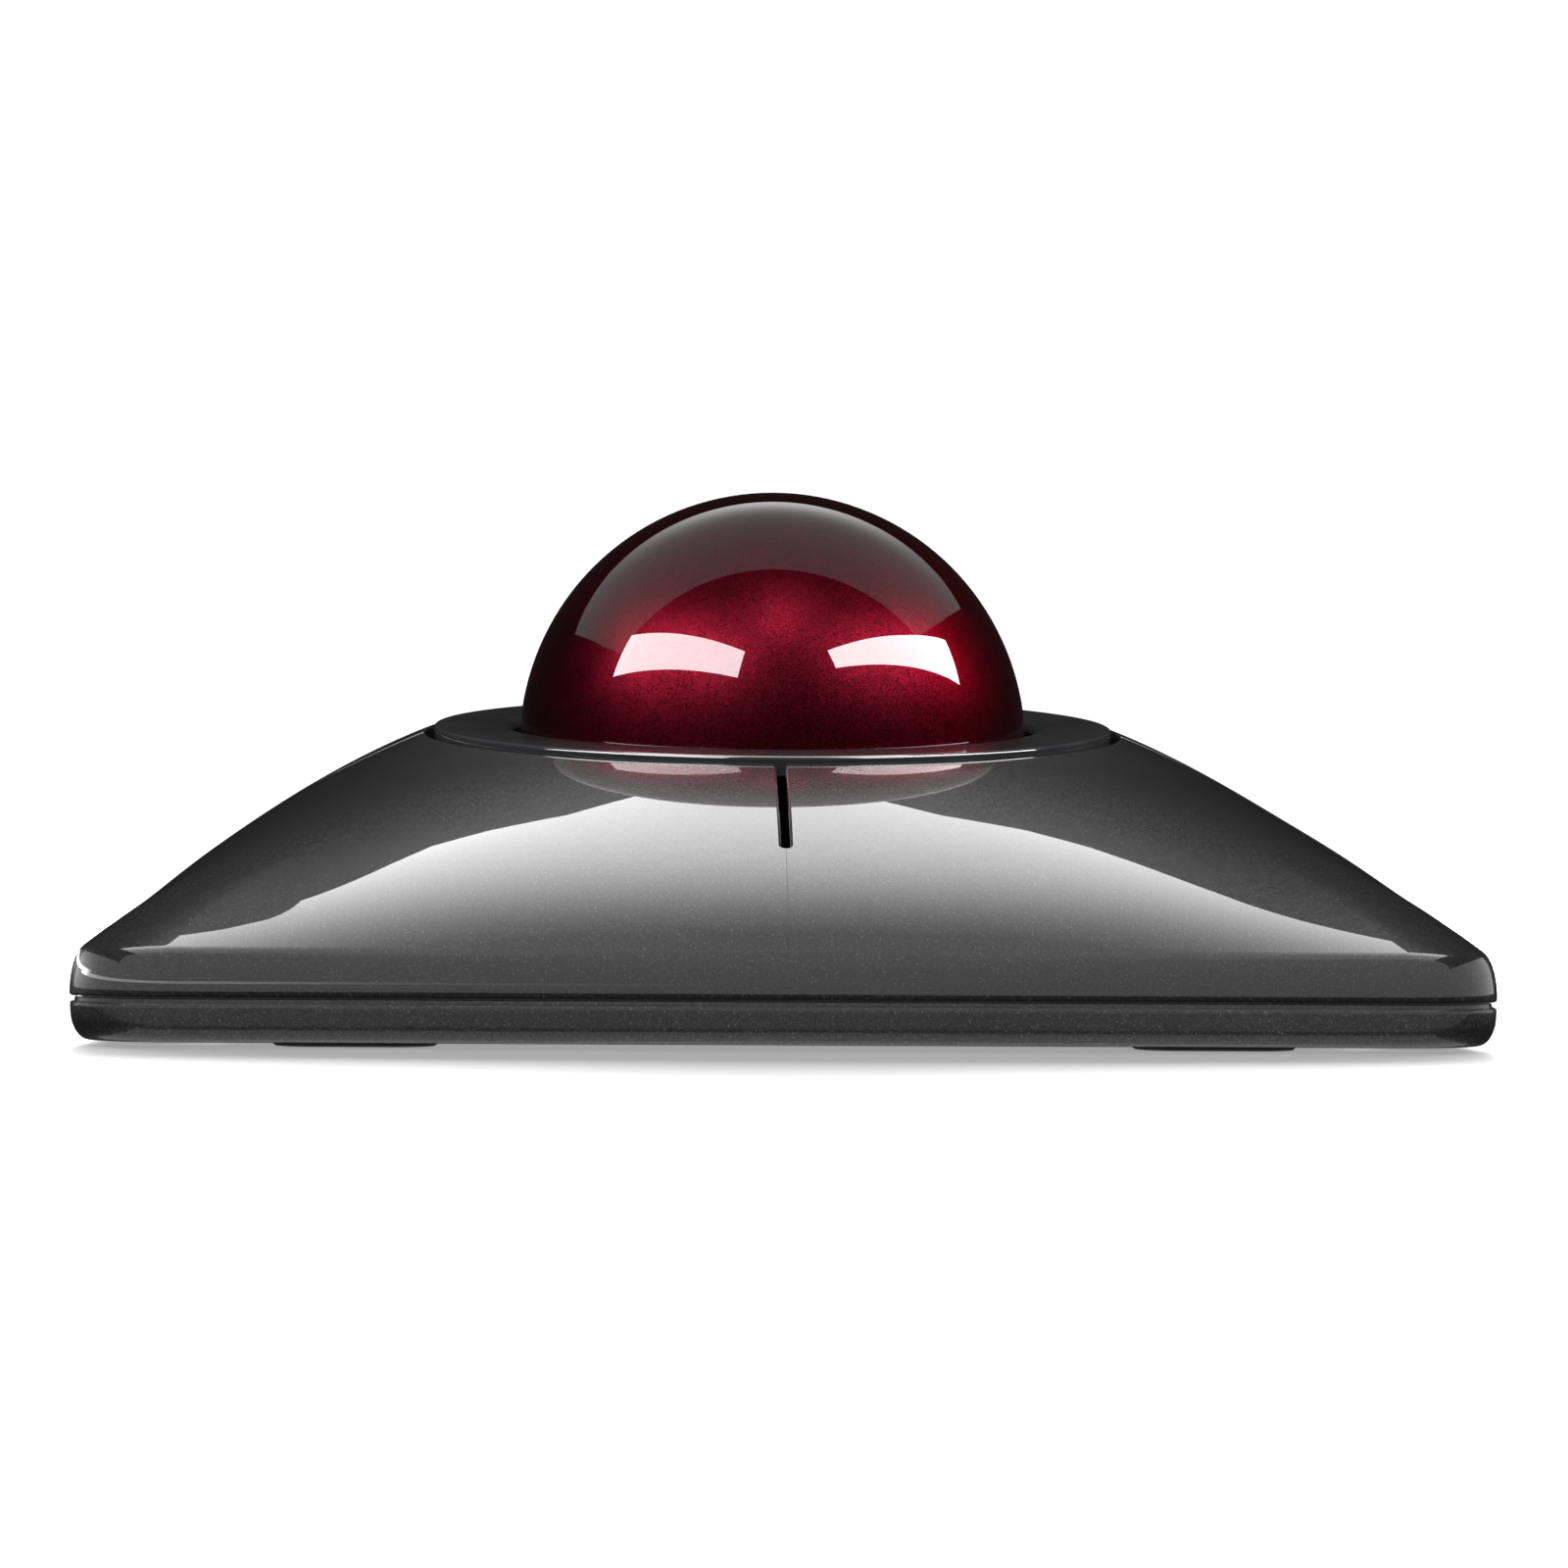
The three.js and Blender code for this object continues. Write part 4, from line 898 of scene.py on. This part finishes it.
panels = []
for towards, end in ((-1, "front"), (1, "rear")):
    (normal_x, normal_y), distance = HINGE[towards]
    for hand, side in ((1, "right"), (-1, "left")):
        key = f"{end}_{side}"
        piece = panel_quadrant(f"{key}_panel", towards, hand)
        nodes = [f"{key}_key"] + (["top_shell"] if key == "front_right" else [])
        finish_piece(piece, "gloss_panel", None, *nodes)
        across = np.array([normal_x * hand, normal_y])
        start, stop = (across * reach * MM for reach in (distance, distance - HINGE_REACH))
        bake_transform(piece)
        panels.append(piece)

ring = turned("bezel_ring_trim", smooth_profile(RING_PROFILE, 8), 288, tilted)
sharpen(ring, 40)
finish_piece(ring, "ring_gloss", "housing", "bezel_ring")

ball = quad_sphere("ruby_ball", BALL_RADIUS, (0, 0, BALL_CENTRE), 35)
finish_piece(ball, "ball_ruby", "ball", "trackball")

case = lower_shell()
finish_piece(case, "lower_case", "housing", "lower_shell")

for number, (foot, screw) in enumerate(zip(four_places(FOOT_X, FOOT_Y), four_places(*CASE_SCREW)), 1):
    finish_piece(foot_pad(f"foot_{number}", *foot), "foot_rubber", "housing", f"foot_pad_{number}")
    fixing = hex_screw(f"case_fixing_{number}", *screw, *CASE_SCREW_FORM)
    finish_piece(fixing, "steel", "housing", f"case_screw_{number}")
for number, place in enumerate(leg_places(), 1):
    fixing = hex_screw(f"cup_fixing_{number}", *place, *CUP_SCREW_FORM)
    finish_piece(fixing, "steel", "housing", f"cup_screw_{number}")

cap = turned("pairing_cap", CAP_PROFILE, 64, lambda points: points + np.array([*PAIR, 0]), closed=False)
sharpen(cap, 40)
finish_piece(cap, "small_control", "pairing_push", "pairing_button")

slots = {part["node"]: part["material_slot"] for part in frame["record"]["subparts"]}
for name, node in frame["nodes"].items():
    if node.hide_render:
        continue
    paint(node, slots[name])
    bevel = node.modifiers.new("edge", "BEVEL")
    bevel.width, bevel.segments = BEVEL * MM, 2
    bevel.limit_method, bevel.angle_limit = "ANGLE", math.radians(40)
    node.modifiers.new("weld_normals", "WEIGHTED_NORMAL")

# ---- camera ----

YAW, ROLL = 0.0149, 0.0058
FOCAL, SENSOR = 95.805, 36
CAMERA_PLACE = (-3.03, -454.2, 14.66)
CAMERA_AIM = (0.00951, 1.0, 0.02548)


def turned_back(vector):
    """A vector of the camera's frame, in which the object is turned by the yaw, in the object's frame."""
    c, s = math.cos(YAW), math.sin(YAW)
    x, y, z = vector
    return Vector((c * x + s * y, -s * x + c * y, z))


forward = turned_back(CAMERA_AIM).normalized()
right = forward.cross(Vector((0, 0, 1))).normalized()
up = right.cross(forward)
right, up = right * math.cos(ROLL) + up * math.sin(ROLL), up * math.cos(ROLL) - right * math.sin(ROLL)
camera = add_object("camera", bpy.data.cameras.new("camera"))
axes = Matrix((right, up, -forward)).transposed()
camera.matrix_world = Matrix.Translation(turned_back(CAMERA_PLACE) * MM) @ axes.to_4x4()
camera.data.lens, camera.data.sensor_width = FOCAL, SENSOR
camera.data.clip_start = 0.01
bpy.context.scene.camera = camera

# ---- lights ----
# Lengths from here on are in metres, angles in degrees. Each softbox is a glowing plane that is hidden from the
# camera and shines on chosen pieces. Its shader adds a clear one, so rays go on to the planes behind it.

EYE_HEIGHT = 0.04      # height from which directions are seen
FAN_DISTANCE = 0.9
OVERHEAD, CEILING, FLOOR_BOX = 0.70, 0.71, 0.72      # heights, kept apart so that the planes don't meet
KEY_FRONT, KEY_REAR, KEY_MIDDLE = -0.45, 1.0, 0.025
KEY_OUTLINE = [
    (-0.6, KEY_FRONT), (0.6, KEY_FRONT), (0.6, 0.04), (0.2, 0.1), (0.197, 0.14), (0.19, 0.23), (0.167, 0.43),
    (0.152, 0.55), (0.129, 0.67), (0.095, 0.76), (0.05, KEY_REAR), (-0.03, KEY_REAR), (-0.072, 0.773),
    (-0.11, 0.675), (-0.137, 0.57), (-0.15, 0.43), (-0.166, 0.2), (-0.155, 0.1), (-0.6, 0.02),
]
KEY_STOPS = [      # place along y, and brightness
    (-0.45, 0.9), (-0.27, 1.0), (-0.22, 1.3), (-0.17, 1.65), (-0.11, 2.1), (-0.05, 2.6), (0.0, 3.05),
    (0.06, 3.45), (0.13, 3.8), (0.2, 3.95), (0.28, 4.0), (0.5, 3.6), (0.72, 3.3), (1.0, 3.0),
]
KEY_HALF, ASIDE_LIMIT, ASIDE_GAIN = 0.15, 1.8, 0.7      # the key is brighter away from its middle line
PATCH_CENTRE, PATCH_SIZE = (0.03, 0.80), (0.36, 0.22)
PATCH_LEVEL, CEILING_LEVEL = 1.5, 0.53
# azimuth towards the left, and brightness
STRIP_STOPS = [(0.0, 0.1), (6.0, 0.6), (9.0, 2.2), (14.0, 3.0), (100.0, 3.5), (110.0, 14.0), (150.0, 14.0)]
STRIP_SPAN, STRIP_STEP, STRIP_LOW, STRIP_HIGH = 150, 10, 5.2, 7.6


def glow_material(name, strength):
    """Light of one strength, or of a strength that a function builds from the place on the plane."""
    s = Shader(name)
    s.tree.nodes.remove(s.bsdf)
    light, total = s.add("ShaderNodeEmission"), s.add("ShaderNodeAddShader")
    s.link(light.outputs["Emission"], total.inputs[0])
    s.link(s.add("ShaderNodeBsdfTransparent").outputs["BSDF"], total.inputs[1])
    s.surface(total.outputs["Shader"])
    if callable(strength):
        s.link(strength(s), light.inputs["Strength"])
    else:
        light.inputs["Strength"].default_value = strength
    return s.material


def softbox(name, corners, strength, receivers=(), spared=()):
    """A soft light that shines on some pieces only, or on all but some."""
    mesh = bpy.data.meshes.new(name)
    mesh.from_pydata(corners, [], [tuple(range(len(corners)))])
    mesh.materials.append(glow_material(name, strength))
    obj = add_object(name, mesh)
    obj.visible_camera = False
    group = bpy.data.collections.new(name + "_group")
    for piece in receivers or spared:
        group.objects.link(piece)
    for entry in group.collection_objects:
        entry.light_linking.link_state = "INCLUDE" if receivers else "EXCLUDE"
    obj.light_linking.receiver_collection = group


def level(x0, x1, y0, y1, z):
    """Corners of a level rectangle."""
    return [(x0, y0, z), (x1, y0, z), (x1, y1, z), (x0, y1, z)]


def upright(start, end, z0, z1):
    """Corners of an upright rectangle over a line in plan."""
    return [(*start, z0), (*end, z0), (*end, z1), (*start, z1)]


def direction(azimuth, elevation, distance):
    """A point seen from the ball, with azimuth 0 at the front and rising to the right."""
    a, e = math.radians(azimuth), math.radians(elevation)
    x, y, z = math.sin(a) * math.cos(e), -math.cos(a) * math.cos(e), math.sin(e)
    return distance * x, distance * y, distance * z + EYE_HEIGHT


def fan(*directions):
    return [direction(azimuth, elevation, FAN_DISTANCE) for azimuth, elevation in directions]


def key_glow(s):
    """Brightness of the tapering softbox that the panel mirrors, over its length and width."""
    x, y = s.plan()
    length = KEY_REAR - KEY_FRONT
    share = s.maths("DIVIDE", s.maths("SUBTRACT", y, KEY_FRONT), length)
    along = s.curve(share, [((place - KEY_FRONT) / length, value) for place, value in KEY_STOPS])
    aside = s.maths("DIVIDE", s.maths("SUBTRACT", x, KEY_MIDDLE), KEY_HALF)
    aside = s.maths("MINIMUM", s.maths("MULTIPLY", aside, aside), ASIDE_LIMIT)
    boost = s.maths("ADD", s.maths("MULTIPLY", aside, ASIDE_GAIN), 1.0)
    return s.maths("MULTIPLY", along, boost)


def ceiling_glow(s):
    """The wide dim ceiling that the ball mirrors, with a brighter patch at its far edge."""
    x, y = s.plan()
    dx = s.maths("DIVIDE", s.maths("SUBTRACT", x, PATCH_CENTRE[0]), PATCH_SIZE[0])
    dy = s.maths("DIVIDE", s.maths("SUBTRACT", y, PATCH_CENTRE[1]), PATCH_SIZE[1])
    far = s.maths("ADD", s.maths("MULTIPLY", dx, dx), s.maths("MULTIPLY", dy, dy))
    patch = s.maths("EXPONENT", s.maths("MULTIPLY", far, -1.0))
    return s.maths("ADD", s.maths("MULTIPLY", patch, PATCH_LEVEL), CEILING_LEVEL)


def strip_glow(s):
    """Brightness of the low strip round the left front corner, over its azimuth."""
    x, y = s.plan()
    azimuth = s.maths("ARCTAN2", s.maths("MULTIPLY", x, -1.0), s.maths("MULTIPLY", y, -1.0))
    share = s.maths("DIVIDE", azimuth, math.radians(STRIP_SPAN))
    return s.curve(share, [(degrees / STRIP_SPAN, value) for degrees, value in STRIP_STOPS])


FLOOR_SIZE = 8
floor = add_object("floor", bpy.data.meshes.new("floor"))
floor.data.from_pydata(level(-FLOOR_SIZE, FLOOR_SIZE, -FLOOR_SIZE, FLOOR_SIZE, 0), [], [(0, 1, 2, 3)])

housing = panels + [case]
below = [obj for obj in bpy.data.objects if obj.type == "MESH" and obj not in panels + [ball, ring, floor]]
SOFTBOXES = [
    ("ceiling", level(-1.15, 0.9, -0.09, 0.88, CEILING), ceiling_glow, [ball]),
    ("under_softbox", level(-0.5, 0.5, -0.5, 0.5, -0.5), 1.0, below),
    ("floor_softbox", level(-0.9, 0.9, -0.5, 0.7, FLOOR_BOX), 0.15, [floor]),
    ("floor_backlight", upright((-1.5, 1.0), (1.5, 1.0), 0.12, 0.62), 13.0, [floor]),
    ("left_softbox", fan((-85, 37), (-83, 22), (-18, 27), (-16, 39)), 17.0, [ball, ring]),
    ("ring_left_card", fan((-80, 39), (-18, 41), (-18, 68), (-80, 68)), 9.0, [ring]),
    ("ring_right_card", fan((28, 41), (95, 39), (95, 68), (28, 68)), 9.0, [ring]),
    ("right_softbox", fan((30, 31), (97, 18), (102, 31), (77, 39), (28, 39)), 20.0, [ball, ring]),
    ("front_card", upright((-0.9, KEY_FRONT), (0.9, KEY_FRONT), 0.0, 0.7), 1.0, housing),
    ("side_card_1", upright((-0.9, KEY_FRONT), (-0.9, 0.9), 0.0, 0.45), 1.0, housing),
    ("side_card_3", upright((0.9, KEY_FRONT), (0.9, 0.9), 0.0, 0.45), 1.0, housing),
    ("desk_bounce", level(-0.4, 0.4, -0.9, -0.0755, 0.001), 0.45, [case]),
]
softbox("key_softbox", [(x, y, OVERHEAD) for x, y in KEY_OUTLINE], key_glow, spared=[ball, floor])
for name, corners, strength, receivers in SOFTBOXES:
    softbox(name, corners, strength, receivers)
for start in range(-STRIP_SPAN, -STRIP_STEP + 1, STRIP_STEP):
    end = start + STRIP_STEP
    corners = fan((start, STRIP_LOW), (end, STRIP_LOW), (end, STRIP_HIGH), (start, STRIP_HIGH))
    softbox(f"low_strip_{-start}", corners, strip_glow, panels)

LAMP_DIRECTION, LAMP_AIM = (4, 56), (0, 0, 0.03)
LAMP_SIZE, LAMP_POWER = 0.2, 2.5

# A lamp without multiple importance sampling lights the ball's metal but leaves no mirror image in its coat.
lamp = bpy.data.lights.new("ball_glow", "AREA")
lamp.size, lamp.energy = LAMP_SIZE, LAMP_POWER
lamp.cycles.use_multiple_importance_sampling = False
glow = add_object("ball_glow", lamp)
glow.location = direction(*LAMP_DIRECTION, FAN_DISTANCE)
glow.rotation_euler = (Vector(LAMP_AIM) - glow.location).to_track_quat("-Z", "Y").to_euler()
glow.visible_camera = False
glow.light_linking.receiver_collection = bpy.data.collections["ceiling_group"]

# ---- surroundings and floor ----

SURROUND, BACKDROP = 0.012, 1.05       # what lights the pieces, and what the camera sees
# the floor's glow, seen by the camera only, which rises with the distance from the object: it is dimmer near the
# object, a painted shade round it
FLOOR_GLOW_AND_PAINTED_SHADE = {"From Min": 0.108, "From Max": 0.24, "To Min": 0.33, "To Max": 1.0}

world = bpy.data.worlds.new("studio")
bpy.context.scene.world = world
world.use_nodes = True
tree = world.node_tree
camera_ray = tree.nodes.new("ShaderNodeLightPath").outputs["Is Camera Ray"]
mix = tree.nodes.new("ShaderNodeMix")
mix.data_type = "RGBA"
mix.inputs["A"].default_value = (SURROUND, SURROUND, SURROUND, 1)
mix.inputs["B"].default_value = (BACKDROP, BACKDROP, BACKDROP, 1)
tree.links.new(camera_ray, mix.inputs["Factor"])
tree.links.new(mix.outputs["Result"], tree.nodes["Background"].inputs["Color"])

# The floor shows to the camera from above only: everything else, and the camera below it, sees through.
s = Shader("pale_floor")
s.set(Base_Color=(0.9, 0.9, 0.9, 1), Roughness=0.6, Specular_IOR_Level=0.1, Emission_Color=(1, 1, 1, 1))
camera_ray = s.add("ShaderNodeLightPath").outputs["Is Camera Ray"]
length = s.add("ShaderNodeVectorMath", operation="LENGTH")
s.link(s.place, length.inputs[0])
# painted shade: the camera-only glow is weaker close to the object, so the floor shows grey round it like a
# contact shadow
glow_and_painted_shade = s.add("ShaderNodeMapRange")
for socket, value in FLOOR_GLOW_AND_PAINTED_SHADE.items():
    glow_and_painted_shade.inputs[socket].default_value = value
s.link(length.outputs["Value"], glow_and_painted_shade.inputs["Value"])
s.link(s.maths("MULTIPLY", camera_ray, glow_and_painted_shade.outputs["Result"]), s.bsdf.inputs["Emission Strength"])
solid = s.maths("SUBTRACT", camera_ray, s.add("ShaderNodeNewGeometry").outputs["Backfacing"])
solid.node.use_clamp = True
either = s.add("ShaderNodeMixShader")
s.link(solid, either.inputs["Fac"])
s.link(s.add("ShaderNodeBsdfTransparent").outputs["BSDF"], either.inputs[1])
s.link(s.bsdf.outputs["BSDF"], either.inputs[2])
s.surface(either.outputs["Shader"])
floor.data.materials.append(s.material)

bpy.context.scene.view_settings.view_transform = "Standard"
